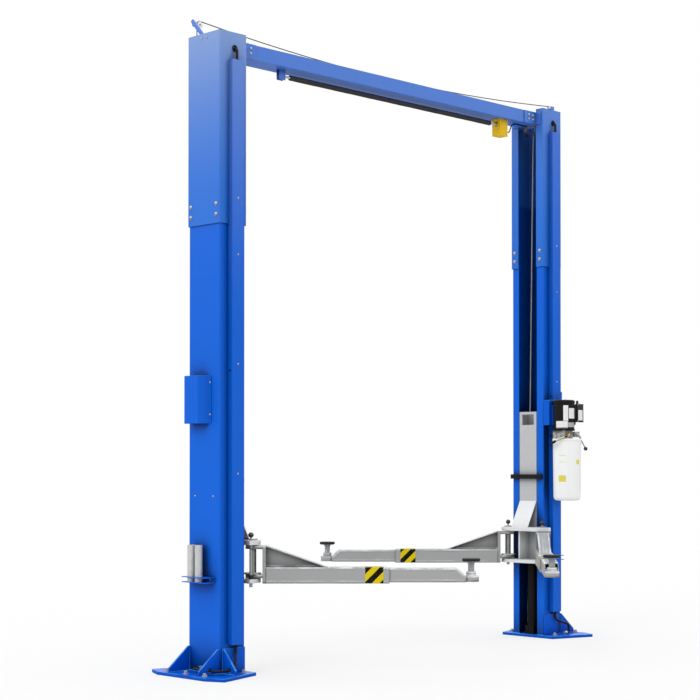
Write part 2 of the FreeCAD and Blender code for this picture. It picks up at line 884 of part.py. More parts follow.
def door_guard(side):
    """A rubber bar across the mast that an opened car door meets."""
    face = "column_depth / 2"
    edge = f"{face} + bracket_gap"
    front = f"{edge} + guard_depth"
    half = f"guard_half_{side}"
    points = [(edge, f"-{half}"), (front, f"-{half}"), (front, half), (edge, half),
              (edge, "bracket_neck"), (face, "bracket_neck"), (face, "-bracket_neck"), (edge, "-bracket_neck")]
    return slab("XY", points, "(guard_bottom + guard_top) / 2", "guard_top - guard_bottom")


def arm_pin(kind):
    """A pivot pin with a flat head above the top plate."""
    out = f"{kind}_pivot_out"
    aside = f"{kind}_pivot_aside"
    shank = rod("pin_radius", (out, aside, "plate_low_bottom"), "plate_high_top - plate_low_bottom")
    head = rod("pin_head_radius", (out, aside, "plate_high_top"), "pin_head")
    return fuse(shank, head)


def yoke_plate(bottom):
    points = [("-yoke_half", "-yoke_half"), ("end_plate_near", "-yoke_half"),
              ("end_plate_near", "yoke_half"), ("-yoke_half", "yoke_half")]
    plate = slab("XY", points, f"{bottom} + yoke_thickness / 2", "yoke_thickness")

    def behind(middle, way):
        return upright(way) and middle.x < 0

    soften(plate, "yoke_half - 1", behind)
    return drill(plate, "XY", [("0", "0")], "pin_radius + pin_gap")


def arm_gear(bottom):
    """The toothed ring on the lower yoke plate, open towards the arm."""
    body = doc.addObject("PartDesign::Body", "Body")
    middle = f"{bottom} + gear_thickness / 2"
    disc = sketch_on(body, "XY", middle)
    disc.addGeometry(Part.Circle(FreeCAD.Vector(), FreeCAD.Vector(0, 0, 1), 3), False)
    disc.addConstraint(Sketcher.Constraint("Coincident", 0, 3, -1, 1))
    held = disc.addConstraint(Sketcher.Constraint("Radius", 0, 3))
    disc.setExpression(f"Constraints[{held}]", bound("gear_radius"))
    base = body.newObject("PartDesign::Pad", "Disc")
    base.Profile = disc
    base.Midplane = True
    bind(base, "Length", "gear_thickness")
    doc.recompute()
    tooth = sketch_on(body, "XY", middle)
    root = "gear_radius - gear_root"
    tip = "gear_radius + gear_tooth"
    outline = [(root, "-gear_root_half"), (tip, "-gear_tip_half"), (tip, "gear_tip_half"), (root, "gear_root_half")]
    cosine = "cos(gear_start)"
    sine = "sin(gear_start)"
    slant = [(f"({out}) * {cosine} - ({aside}) * {sine}", f"({out}) * {sine} + ({aside}) * {cosine}")
             for out, aside in outline]
    draw(tooth, slant)
    teeth = body.newObject("PartDesign::Pad", "Tooth")
    teeth.Profile = tooth
    teeth.Midplane = True
    bind(teeth, "Length", "gear_thickness")
    doc.recompute()
    pattern = body.newObject("PartDesign::PolarPattern", "Teeth")
    pattern.Originals = [teeth]
    pattern.Axis = (next(item for item in body.Origin.OriginFeatures if item.Role == "Z_Axis"), [""])
    bind(pattern, "Angle", "gear_sweep")
    bind(pattern, "Occurrences", "gear_teeth")
    body.Tip = pattern
    doc.recompute()
    return drill(body, "XY", [("0", "0")], "pin_radius + pin_gap")


def outer_arm(kind):
    """Yoke, upright end plate, square tube and the sloping rib above it."""
    end = f"{kind}_outer_end"
    lower = "plate_low_top + yoke_gap"
    upper = "plate_high_bottom - yoke_gap - yoke_thickness"
    far = "end_plate_near + end_plate_thickness"
    top = "arm_bottom + arm_height"
    stand = block(("end_plate_near", "-end_plate_half", "arm_bottom"), (far, "end_plate_half", "end_plate_top"))
    shell = block((far, "-arm_half", "arm_bottom"), (end, "arm_half", top))
    hollow = block((far, "-arm_half + arm_wall", "arm_bottom + arm_wall"),
                   (end, "arm_half - arm_wall", f"{top} - arm_wall"))
    rib = slab("XZ", [(far, top), ("rib_end", top), (far, "end_plate_top")], "0", "rib_thickness")
    cap = slab("XZ", [(far, "end_plate_top - rib_cap_thickness"), (f"rib_end - rib_cap_thickness", top),
                      ("rib_end + rib_cap_thickness", top), (far, "end_plate_top")], "0", "2 * rib_cap_half")
    gear = arm_gear(f"{lower} + yoke_thickness")
    return fuse(yoke_plate(lower), yoke_plate(upper), stand, cut(shell, hollow), rib, cap, gear)


def inner_arm(kind):
    """The tube that telescopes, with the pad's socket and collar at its end."""
    start = f"{kind}_outer_end - inner_overlap"
    pad = f"{kind}_pad_place"
    half = "arm_half - arm_wall - inner_gap"
    bottom = "arm_bottom + arm_wall + inner_gap"
    top = "arm_bottom + arm_height - arm_wall - inner_gap"
    end = f"{pad} - socket_radius + socket_bite"
    points = [(start, bottom), (end, bottom), (end, "socket_top"), (f"{pad} - inner_bevel", top), (start, top)]
    tube = slab("XZ", points, "0", f"2 * ({half})")
    hollow = block((start, f"-({half}) + arm_wall", f"{bottom} + arm_wall"),
                   (f"{pad} - socket_radius", f"({half}) - arm_wall", f"{top} - arm_wall"))
    socket = rod("socket_radius", (pad, "0", "socket_bottom"), "socket_top - socket_bottom")
    collar = rod("collar_radius", (pad, "0", "socket_top"), "collar_top - socket_top")
    bore = rod("stem_radius + stem_gap", (pad, "0", bottom), f"collar_top - ({bottom})")
    return cut(fuse(cut(tube, hollow), socket, collar), bore)


def pad_screw(kind):
    pad = f"{kind}_pad_place"
    stem = rod("stem_radius", (pad, "0", "socket_bottom"), "cup_bottom - socket_bottom")
    cup = rod("cup_radius", (pad, "0", "cup_bottom"), "cup_thickness")
    return fuse(stem, cup)


def rubber_pad(kind):
    pad = f"{kind}_pad_place"
    return rod("pad_radius", (pad, "0", "cup_bottom + cup_thickness"), "pad_top - cup_bottom - cup_thickness")


def on_pivot(thing, side, kind):
    """Turn an arm piece to its heading and set it on its pivot."""
    sign = SIDES[side]
    heading = SIZES.get(f"{kind}_heading_{side}", SIZES.get(f"{kind}_heading"))
    return move(group(thing), x=f"{sign} * (column_spacing / 2 - {kind}_pivot_out)", y=f"{-sign} * {kind}_pivot_aside",
                turn=(heading + (180 if sign > 0 else 0)) % 360)


def lock_pin(kind):
    """The pull pin with its ball and the toothed block that faces the arm's gear."""
    place = (f"{kind}_lock_out", f"{kind}_lock_aside")
    shank = rod("lock_radius", (*place, "lock_bottom"), "lock_top - lock_bottom")
    stem = rod("lock_rod_radius", (*place, "lock_top"), "lock_ball_level - lock_top")
    lump = rod("lock_block_reach", (*place, "plate_low_top + lock_block_lift"), "lock_block_height")
    return fuse(shank, stem, lump, ball("lock_ball_radius", (*place, "lock_ball_level")))


def lock_cover():
    """A folded sheet over the lock on the column's outer face."""
    face = "-column_depth / 2"
    front = f"{face} - lock_cover_stand"
    sheet = "lock_cover_sheet"
    flat = "lock_cover_high - lock_cover_flat"
    points = [(face, "lock_cover_high"), (front, "lock_cover_high"), (front, flat),
              (f"{face} - {sheet}", "lock_cover_low + lock_cover_flange"), (f"{face} - {sheet}", "lock_cover_low"),
              (face, "lock_cover_low"), (face, f"lock_cover_low + lock_cover_flange + {sheet}"),
              (f"{front} + {sheet}", f"{flat} + {sheet}"), (f"{front} + {sheet}", f"lock_cover_high - {sheet}"),
              (face, f"lock_cover_high - {sheet}")]
    return slab("XY", points, "(lock_cover_bottom + lock_cover_top) / 2", "lock_cover_top - lock_cover_bottom")


def adapter_places():
    return [f"rack_first + {index} * rack_pitch" for index in range(3)]


def adapter_rack():
    """A folded shelf with three holes and a tray below them."""
    face = "-column_depth / 2"
    points = [(face, "adapter_bottom - rack_sheet"), (face, "rack_level"), (f"{face} - rack_stand", "rack_level"),
              (f"{face} - rack_stand", "rack_level - rack_sheet"), (f"{face} - rack_sheet", "rack_level - rack_sheet"),
              (f"{face} - rack_sheet", "adapter_bottom"), (f"{face} - rack_stand", "adapter_bottom"),
              (f"{face} - rack_stand", "adapter_bottom - rack_sheet")]
    rack = slab("XZ", points, "(rack_low + rack_high) / 2", "rack_high - rack_low")
    holes = [rod("adapter_radius + adapter_gap", (f"{face} - rack_out", place, "rack_level - rack_sheet"),
                 "rack_sheet") for place in adapter_places()]
    return cut(rack, *holes)


def pad_adapter(place):
    low = (f"-column_depth / 2 - rack_out", place, "adapter_bottom")
    body = rod("adapter_radius", low, "adapter_top - adapter_bottom")
    return cut(body, rod("adapter_bore", low, "adapter_top - adapter_bottom"))


def power_tank():
    points = [("0", "tank_bottom"), ("tank_radius - tank_round", "tank_bottom"),
              ("tank_radius - tank_wall", "tank_bottom + tank_round"), ("tank_radius", "tank_top"), ("0", "tank_top")]
    return move(turned(points), x="unit_x", y="unit_y")


def power_pump():
    """The cast block on the tank, with the valve body at its side."""
    half = "pump_side / 2"
    cast = block((f"pump_x - {half}", f"pump_y - {half}", "tank_top"),
                 (f"pump_x + {half}", f"pump_y + {half}", "pump_top"))
    low = "tank_top + valve_lift"
    valve = block((f"pump_x + {half}", "valve_y - valve_width / 2", low),
                  (f"pump_x + {half} + valve_reach", "valve_y + valve_width / 2", f"{low} + valve_height"))
    return fuse(cast, valve)


def power_motor():
    points = [("0", "pump_top"), ("motor_cap_radius", "pump_top"), ("motor_cap_radius", "pump_top + motor_flange"),
              ("motor_radius", "pump_top + motor_flange"), ("motor_radius", "motor_top"),
              ("motor_cap_radius", "motor_top"), ("motor_cap_radius", "motor_cap_top"), ("0", "motor_cap_top")]
    return move(turned(points), x="motor_x", y="motor_y")


def motor_room():
    return rod("motor_radius", ("motor_x", "motor_y", "pump_top"), "motor_height")


def power_bracket():
    """A channel that carries the motor clear of the hose cover."""
    front = "motor_y + motor_cap_radius"
    face = "-column_width / 2"
    left = "column_spacing / 2 - unit_bracket_left"
    right = "column_spacing / 2 + unit_bracket_right"
    shell = block((left, front, "unit_bracket_bottom"), (right, face, "unit_bracket_top"))
    hollow = block((f"{left} + unit_bracket_sheet", f"{front} + unit_bracket_sheet", "unit_bracket_bottom"),
                   (f"{right} - unit_bracket_sheet", face, "unit_bracket_top"))
    pad = block(("motor_x - motor_radius / 2", "motor_y + motor_radius - unit_pad_bite", "unit_bracket_bottom"),
                ("motor_x + motor_radius / 2", front, "unit_bracket_top - unit_pad_short"))
    return fuse(cut(shell, hollow), cut(pad, motor_room()))


def control_box():
    box = block(("unit_x + box_near", "unit_y - box_front", "box_bottom"),
                ("unit_x + box_far", "unit_y - box_front + box_depth", "box_bottom + box_height"))
    return cut(box, motor_room())


def release_lever():
    """A hub on the valve's side with a sloping rod and ball."""
    hub = rod("lever_hub_radius", ("0", "0", "0"), "lever_reach", "x")
    out = "lever_reach - lever_hub_radius / 2"
    shank = rod("lever_radius", (out, "0", "-lever_drop"), "lever_drop")
    whole = fuse(hub, shank, ball("lever_ball_radius", (out, "0", "-lever_drop")))
    return move(group(whole), x="lever_x", y="valve_y", z="lever_level", turn=-SIZES["lever_tilt"], axis=(1, 0, 0))


def shutoff_bracket():
    """Two cheeks under the beam with the bar's hinge pin between them."""
    cheeks = []
    for sign in (-1, 1):
        near = f"{sign} * (eye_width / 2 + hinge_gap)"
        far = f"{sign} * (eye_width / 2 + hinge_gap + hinge_plate_sheet)"
        low, high = (far, near) if sign < 0 else (near, far)
        cheeks.append(block(("hinge_x - hinge_plate_half", low, "bar_level - hinge_plate_half"),
                            ("hinge_x + hinge_plate_half", high, "beam_bottom")))
    width = "eye_width / 2 + hinge_gap + hinge_plate_sheet"
    pin = rod("hinge_pin_radius", ("hinge_x", f"-({width})", "bar_level"), f"2 * ({width})", "y")
    return fuse(pin, *cheeks)


def shutoff_bar():
    """The hinged rod whose far end lies in the switch's slot."""
    eye = rod("eye_radius", ("hinge_x", "-eye_width / 2", "bar_level"), "eye_width", "y")
    shank = rod("bar_radius", ("hinge_x", "0", "bar_level"), "bar_right - hinge_x", "x")
    bore = rod("hinge_pin_radius + pin_gap", ("hinge_x", "-eye_width / 2", "bar_level"), "eye_width", "y")
    return cut(fuse(eye, shank), bore)


def shutoff_foam():
    skin = rod("foam_radius", ("foam_left", "0", "bar_level"), "foam_right - foam_left", "x")
    return cut(skin, rod("bar_radius + 0.3", ("foam_left", "0", "bar_level"), "foam_right - foam_left", "x"))


def shutoff_switch():
    box = block(("switch_left", "-switch_half", "switch_bottom"), ("switch_right", "switch_half", "beam_bottom"))
    slot = block(("switch_left", "-switch_slot_half", "bar_level - switch_slot_half"),
                 ("switch_slot_end", "switch_slot_half", "bar_level + switch_slot_rise"))
    return cut(box, slot)


def release_brackets():
    """The arm on the left sleeve and the short one on the right, each with a wheel and its pin."""
    wall = "-column_spacing / 2 - column_depth / 2 - sleeve_gap"
    tip = "release_left_y"
    foot = "lift_height - release_foot"
    top = "release_left_level + release_tip_top"
    points = [("-release_arm_back", foot), ("0", foot),
              (f"{tip} + release_tip_half", "release_left_level - release_tip_bottom"),
              (f"{tip} + release_tip_half", top), (f"{tip} - release_tip_half", top),
              ("-release_arm_back", "lift_height")]
    arm = slab("YZ", points, f"{wall} + release_sheet / 2", "release_sheet")
    left_x = "release_left_x + release_wheel_radius"
    left_z = "release_left_level - release_left_drop"
    half = "release_wheel_width / 2"
    near = f"{tip} + {half} + hinge_gap"
    tab = block((f"{wall}", near, f"{left_z} - release_tab"),
                (f"{left_x} + release_tab", f"{near} + release_sheet", f"{left_z} + release_tab"))
    left_pin = rod("hinge_pin_radius", (left_x, f"{tip} - {half}", left_z), f"2 * {half} + 2 * hinge_gap", "y")
    side = "-column_width / 2 - sleeve_gap"
    right_x = "release_right_x - release_wheel_radius"
    right_z = "release_right_level - release_right_drop"
    post = block((f"{right_x} - release_tip_half", side, foot),
                 (f"{right_x} + release_tip_half", f"{side} + release_sheet", f"{right_z} + release_tip_half"))
    right_pin = rod("hinge_pin_radius", (right_x, side, right_z),
                    f"release_right_y + {half} - ({side})", "y")
    return group(fuse(arm, tab, left_pin), fuse(post, right_pin))


def release_wheels():
    places = [("release_left_x + release_wheel_radius", "release_left_y",
               "release_left_level - release_left_drop"),
              ("release_right_x - release_wheel_radius", "release_right_y",
               "release_right_level - release_right_drop")]
    return group(*[wheel("release_wheel_radius", "release_wheel_width", place, "y", groove="release_radius + cable_ease",
                         pin="hinge_pin_radius") for place in places])


def release_cable():
    """The thin cable over the top, slack between its two wheels."""
    left = spot(value("release_left_x"), value("release_left_y"), value("release_left_level"))
    right = spot(value("release_right_x"), value("release_right_y"), value("release_right_level"))
    sag = value("release_sag")
    down = spot(0, 0, -value("release_drop") - sag)
    middle = (left + right) / 2 - spot(0, 0, 2 * sag)
    half = (left - middle).getAngle(right - middle) / 2
    slack = 0.9 * (right - middle).Length * math.tan(half)
    bend = value("release_wheel_radius")
    points = [left + down, left, middle, right, right + down]
    return feature("release_cable", pipe_solid(points, value("release_radius"), [bend, slack, bend]))


def hose_port_x(side):
    return f"{SIDES[side]} * column_spacing / 2 - column_depth / 2 + hose_port_place"


def bored_sleeve(side):
    """The upper column, with the port that the hose leaves by."""
    port = rod("hose_port_radius", (hose_port_x(side), "-column_width", "hose_port_level"),
               "column_width / 2 + 40", "y")
    return cut(at_column(sleeve(), side), port)


def top_hose(side):
    """Out of the sleeve's port and down into the top of the hose cover."""
    x = value(hose_port_x(side))
    level = value("hose_port_level")
    lane = value("-column_width / 2 - cover_stand + cover_sheet + hose_radius + hose_seat")
    front = value("-column_width / 2 - column_wall - sleeve_gap")
    points = [spot(x, front + value("hose_start"), level), spot(x, lane, level),
              spot(x, lane, value("cover_top - hose_tuck"))]
    return feature("top_hose", pipe_solid(points, value("hose_radius"), [value("hose_bend")]))


def foot_hose(side, corners, rounds):
    """Out of the bottom of the hose cover and along the base plate to its fitting."""
    x = value(hose_port_x(side))
    lane = value("-column_width / 2 - cover_stand / 2")
    points = [spot(x, lane, value("cover_bottom + hose_tuck")), spot(x, lane, value("hose_drop_level")), *corners]
    return feature("foot_hose", pipe_solid(points, value("hose_radius"), rounds))


def left_foot_hose():
    level = value("foot_hose_level")
    lane = value("-column_width / 2 - hose_hole_out")
    kick = value(hose_port_x("left")) - value("hose_kick")
    wall = value("-column_spacing / 2 - column_depth / 2")
    out = wall - value("hose_pass_out")
    aside = value("foot_fitting_aside")
    bend = value("hose_foot_bend")
    corners = [spot(kick, lane, level), spot(out, lane, level), spot(out, aside, level),
               spot(wall - value("fitting_length"), aside, level)]
    return foot_hose("left", corners, [bend, bend, bend, bend / 2])


def right_foot_hose():
    level = value("plate_thickness + fitting_radius")
    x = value("plate_fitting_x")
    lane = value("plate_fitting_y")
    bend = value("hose_end_bend")
    corners = [spot(x + 2 * bend, lane, value("plate_hose_level")), spot(x + 2 * bend, lane, level),
               spot(x, lane, level)]
    return foot_hose("right", corners, [value("hose_foot_bend"), 2 * bend, bend])


def pressure_hose():
    """From the pump block's back to the hose cover's side."""
    x = value("pump_x - pump_side / 2 + pressure_inset")
    level = value("(tank_top + pump_top) / 2")
    back = value("-column_width / 2 - cover_stand / 2")
    points = [spot(x, value("pump_y + pump_side / 2"), level), spot(x, back, level),
              spot(value("column_spacing / 2 - column_depth / 2 + cover_start"), back, level)]
    return feature("pressure_hose", pipe_solid(points, value("hose_radius"), [value("pressure_bend")]))


def hose_fittings():
    """The ends screwed into the left column's outer face and lying on the right base plate."""
    wall = "-column_spacing / 2 - column_depth / 2"
    return group(rod("fitting_radius", (f"{wall} - fitting_length", "foot_fitting_aside", "foot_hose_level"),
                     "fitting_length", "x"),
                 rod("fitting_radius", ("plate_fitting_x - fitting_length", "plate_fitting_y",
                                        "plate_thickness + fitting_radius"), "fitting_length", "x"))


def hoses():
    return group(top_hose("left"), top_hose("right"), left_foot_hose(), right_foot_hose(), pressure_hose())


def main():
    make_sheet()
    keep(at_columns(base_plate), "base_plates")
    for side in SIDES:
        keep(at_column(column(), side), f"column_{side}")
        keep(bored_sleeve(side), f"sleeve_{side}")
    keep(group(*[hose_cover(side) for side in SIDES]), "hose_covers")
    keep(base_gussets(), "base_gussets")
    keep(overhead_beam(), "overhead_beam")
    keep(beam_brackets(), "beam_brackets")
    keep(cable_pulleys(), "cable_pulleys")
    keep(pulley_brackets(), "pulley_brackets")
    keep(equalizer_cable(), "equalizer_cable")
    keep(at_columns(lift_cylinder), "lift_cylinders")
    keep(at_columns(lock_cover), "lock_covers")
    keep(at_columns(adapter_rack), "adapter_racks")
    adapters = [at_column(pad_adapter(place), side) for side in SIDES for place in adapter_places()[1:]]
    keep(group(*adapters), "pad_adapters")
    keep(power_bracket(), "power_bracket")
    keep(power_tank(), "power_tank")
    keep(power_pump(), "power_pump")
    keep(power_motor(), "power_motor")
    keep(control_box(), "control_box")
    keep(release_lever(), "release_lever")
    keep(shutoff_bracket(), "shutoff_bracket")
    keep(shutoff_bar(), "shutoff_bar")
    keep(shutoff_foam(), "shutoff_foam")
    keep(shutoff_switch(), "shutoff_switch")
    keep(release_brackets(), "release_brackets")
    keep(release_wheels(), "release_wheels")
    keep(release_cable(), "release_cable")
    keep(hose_fittings(), "hose_fittings")
    keep(hoses(), "hoses")
    for side in SIDES:
        keep(at_column(mast(), side), f"mast_{side}")
        keep(at_column(arm_bracket(), side), f"arm_bracket_{side}")
        keep(at_column(door_guard(side), side), f"door_guard_{side}")
        keep(at_column(group(arm_pin("short"), arm_pin("long")), side), f"arm_pins_{side}")
        for kind in ("short", "long"):
            keep(on_pivot(outer_arm(kind), side, kind), f"{kind}_outer_{side}")
            keep(on_pivot(inner_arm(kind), side, kind), f"{kind}_inner_{side}")
            keep(on_pivot(pad_screw(kind), side, kind), f"{kind}_screw_{side}")
            keep(on_pivot(rubber_pad(kind), side, kind), f"{kind}_pad_{side}")
            keep(at_column(lock_pin(kind), side), f"{kind}_lock_{side}")
    doc.recompute()
    write_parts()


def write_parts():
    for thing in doc.Objects:
        if {"Invalid", "Error"} & set(thing.State):
            raise RuntimeError(f"{thing.Label} did not recompute: {thing.State}")
    os.makedirs("parts", exist_ok=True)
    for thing in kept:
        shape = thing.Shape
        if shape.isNull() or not shape.isValid() or not shape.Solids:
            raise RuntimeError(f"{thing.Label} has no valid shape")
        shape.exportStep(f"parts/{thing.Label}.step")
        box = shape.BoundBox
        print(f"{thing.Label}: {len(shape.Solids)} solids, {shape.Volume / 1e6:.3f} litres, "
              f"x {box.XMin:.0f}..{box.XMax:.0f} y {box.YMin:.0f}..{box.YMax:.0f} z {box.ZMin:.0f}..{box.ZMax:.0f}")


main()
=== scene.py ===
import math

import bmesh
import bpy
from mathutils import Matrix, Vector


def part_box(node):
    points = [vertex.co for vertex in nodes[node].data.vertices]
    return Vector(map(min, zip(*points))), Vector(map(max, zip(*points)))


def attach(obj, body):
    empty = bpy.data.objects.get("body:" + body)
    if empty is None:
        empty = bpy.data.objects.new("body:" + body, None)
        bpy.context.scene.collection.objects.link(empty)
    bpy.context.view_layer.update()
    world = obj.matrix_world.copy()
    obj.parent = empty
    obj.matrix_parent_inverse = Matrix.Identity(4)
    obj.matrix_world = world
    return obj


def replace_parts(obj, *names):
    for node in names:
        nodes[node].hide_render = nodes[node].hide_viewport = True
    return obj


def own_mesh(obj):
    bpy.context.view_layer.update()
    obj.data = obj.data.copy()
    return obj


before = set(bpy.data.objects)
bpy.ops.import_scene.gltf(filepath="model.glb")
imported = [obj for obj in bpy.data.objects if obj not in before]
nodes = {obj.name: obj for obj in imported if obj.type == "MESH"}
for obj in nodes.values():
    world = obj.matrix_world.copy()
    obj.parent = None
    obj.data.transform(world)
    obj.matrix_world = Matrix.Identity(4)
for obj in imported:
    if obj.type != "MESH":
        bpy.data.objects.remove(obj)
scene = bpy.context.scene
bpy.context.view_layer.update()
sides = {"left": -1, "right": 1}
print("frame loaded,", len(nodes), "nodes")

# the viewpoint: a long lens at chest height, tilted up a little and shifted
viewpoint = {
    "place": (-7.6348, -7.2475, 1.2188),
    "yaw": 45.01,
    "tilt": 0.75,
    "focalPixels": 1642.87,
    "middleRow": 440.72,
    "picture": 700,
    "sensor": 36.0,
    "farthest": 200.0,
}


def makeCamera():
    data = bpy.data.cameras.new("viewCamera")
    data.sensor_width = viewpoint["sensor"]
    data.lens = viewpoint["focalPixels"] * viewpoint["sensor"] / viewpoint["picture"]
    data.shift_y = (viewpoint["middleRow"] - viewpoint["picture"] / 2) / viewpoint["picture"]
    data.clip_end = viewpoint["farthest"]
    camera = bpy.data.objects.new("viewCamera", data)
    camera.location = viewpoint["place"]
    camera.rotation_euler = (math.radians(90 + viewpoint["tilt"]), 0, -math.radians(viewpoint["yaw"]))
    scene.collection.objects.link(camera)
    scene.camera = camera


makeCamera()
print("camera placed")


def feed(tree, node, inputs):
    # plain values are set on the sockets, and other nodes' outputs are linked to them
    for key, value in inputs.items():
        if isinstance(value, bpy.types.NodeSocket):
            tree.links.new(value, node.inputs[key])
        else:
            node.inputs[key].default_value = value


def addNode(tree, kind, inputs=None, **settings):
    node = tree.nodes.new(kind)
    for name, value in settings.items():
        setattr(node, name, value)
    feed(tree, node, inputs or {})
    return node


def mathNode(tree, operation, first, second=0.0, third=0.0):
    return addNode(tree, "ShaderNodeMath", {0: first, 1: second, 2: third}, operation=operation).outputs[0]


def product(tree, first, second):
    return mathNode(tree, "MULTIPLY", first, second)


def mapRange(tree, value, start, end, low=0.0, high=1.0, **settings):
    inputs = {0: value, 1: start, 2: end, 3: low, 4: high}
    return addNode(tree, "ShaderNodeMapRange", inputs, **settings).outputs[0]


def mixValue(tree, amount, first, second):
    return addNode(tree, "ShaderNodeMix", {0: amount, 2: first, 3: second}).outputs[0]


def mixColour(tree, amount, first, second):
    return addNode(tree, "ShaderNodeMix", {0: amount, 6: first, 7: second}, data_type="RGBA").outputs[2]


def noise(tree, place, scale, detail=2.0):
    inputs = {"Vector": place, "Scale": scale, "Detail": detail}
    return addNode(tree, "ShaderNodeTexNoise", inputs).outputs["Fac"]


def objectPlace(tree):
    return addNode(tree, "ShaderNodeTexCoord").outputs["Object"]


def split(tree, direction):
    return addNode(tree, "ShaderNodeSeparateXYZ", {0: direction}).outputs


def newMaterial(name):
    material = bpy.data.materials.new(name)
    material.use_nodes = True
    material.node_tree.nodes.clear()
    return material, material.node_tree


# light and floor: the sky lights softly from above, and reflections see a brighter band higher up
stage = {
    "floorSize": 60.0,
    "floorTone": 0.78,
    "floorPale": 0.6,
    "floorShine": 0.3,
    "fadeStart": 4.0,
    "fadeEnd": 14.0,
    "skyLow": 0.3,
    "skyHigh": 1.3,
    "skyRise": (0.0, 0.3),
    "shineLow": 0.3,
    "shineHigh": 2.5,
    "shineRise": (0.1, 0.28),
    "sideDim": 0.72,
    "sideRise": (-1.0, 0.2),
    "keyEnergy": 0.5,
    "keyTurn": (50.0, 0.0, -75.0),
    "keyAngle": 25.0,
}


def makeWorld():
    world = bpy.data.worlds.new("paleSky")
    scene.world = world
    world.use_nodes = True
    tree = world.node_tree
    tree.nodes.clear()
    direction = split(tree, addNode(tree, "ShaderNodeTexCoord").outputs["Generated"])
    side = mapRange(tree, direction["Y"], *stage["sideRise"], stage["sideDim"], 1.0)
    level, shine = [mapRange(tree, direction["Z"], *stage[f"{kind}Rise"], stage[f"{kind}Low"],
                             stage[f"{kind}High"], interpolation_type="SMOOTHSTEP")
                    for kind in ("sky", "shine")]
    path = addNode(tree, "ShaderNodeLightPath").outputs
    level = mixValue(tree, path["Is Glossy Ray"], product(tree, level, side), shine)
    strength = mixValue(tree, path["Is Camera Ray"], level, 1.0)
    sky = addNode(tree, "ShaderNodeBackground", {0: (1, 1, 1, 1), 1: strength})
    addNode(tree, "ShaderNodeOutputWorld", {0: sky.outputs[0]})


def makeFloor():
    # pale and fading to white, with the part's soft shade on it
    mesh = bpy.data.meshes.new("paleFloor")
    half = stage["floorSize"] / 2
    corners = [(-half, -half, 0), (half, -half, 0), (half, half, 0), (-half, half, 0)]
    mesh.from_pydata(corners, [], [(0, 1, 2, 3)])
    floor = bpy.data.objects.new("paleFloor", mesh)
    scene.collection.objects.link(floor)
    material, tree = newMaterial("paleFloor")
    away = addNode(tree, "ShaderNodeVectorMath", {0: objectPlace(tree)}, operation="LENGTH").outputs["Value"]
    fade = mapRange(tree, away, stage["fadeStart"], stage["fadeEnd"])
    path = addNode(tree, "ShaderNodeLightPath").outputs
    pale = mathNode(tree, "MAXIMUM", fade, product(tree, path["Is Camera Ray"], stage["floorPale"]))
    tone = stage["floorTone"]
    near = addNode(tree, "ShaderNodeBsdfDiffuse", {"Color": (tone, tone, tone, 1)}).outputs[0]
    far, dim = [addNode(tree, "ShaderNodeEmission", {"Color": (1, 1, 1, 1), "Strength": strength}).outputs[0]
                for strength in (1.0, stage["floorShine"])]
    both = addNode(tree, "ShaderNodeMixShader", {0: pale, 1: near, 2: far}).outputs[0]
    seen = addNode(tree, "ShaderNodeMixShader", {0: path["Is Glossy Ray"], 1: both, 2: dim}).outputs[0]
    addNode(tree, "ShaderNodeOutputMaterial", {0: seen})
    mesh.materials.append(material)


def makeKeyLight():
    data = bpy.data.lights.new("keyLight", "SUN")
    data.energy = stage["keyEnergy"]
    data.angle = math.radians(stage["keyAngle"])
    light = bpy.data.objects.new("keyLight", data)
    light.rotation_euler = [math.radians(turn) for turn in stage["keyTurn"]]
    scene.collection.objects.link(light)


makeWorld()
makeFloor()
makeKeyLight()
scene.view_settings.view_transform = "Standard"
print("floor and light made")


# shader groups that several finishes share

def newGroup(name, inputs, outputs):
    # an input is a colour where four numbers are given, and a value otherwise
    tree = bpy.data.node_groups.new(name, "ShaderNodeTree")
    for label, value in inputs.items():
        kind = "NodeSocketColor" if isinstance(value, tuple) else "NodeSocketFloat"
        tree.interface.new_socket(label, in_out="INPUT", socket_type=kind).default_value = value
    for label in outputs:
        kind = "NodeSocketColor" if label == "Color" else "NodeSocketFloat"
        tree.interface.new_socket(label, in_out="OUTPUT", socket_type=kind)
    return tree, tree.nodes.new("NodeGroupInput").outputs, tree.nodes.new("NodeGroupOutput").inputs


paintLook = {
    "cloudScale": 2.3,
    "cloudDetail": 4.0,
    "cloudRoughness": 0.08,
    # how the painted sheen fades from left to right, and how openness maps to painted shade
    "sheenFadeAcross": (1.3, -1.3),
    "sheenSharesAcross": (0.3, 1.0),
    "shadeOpen": (0.35, 0.95),
}


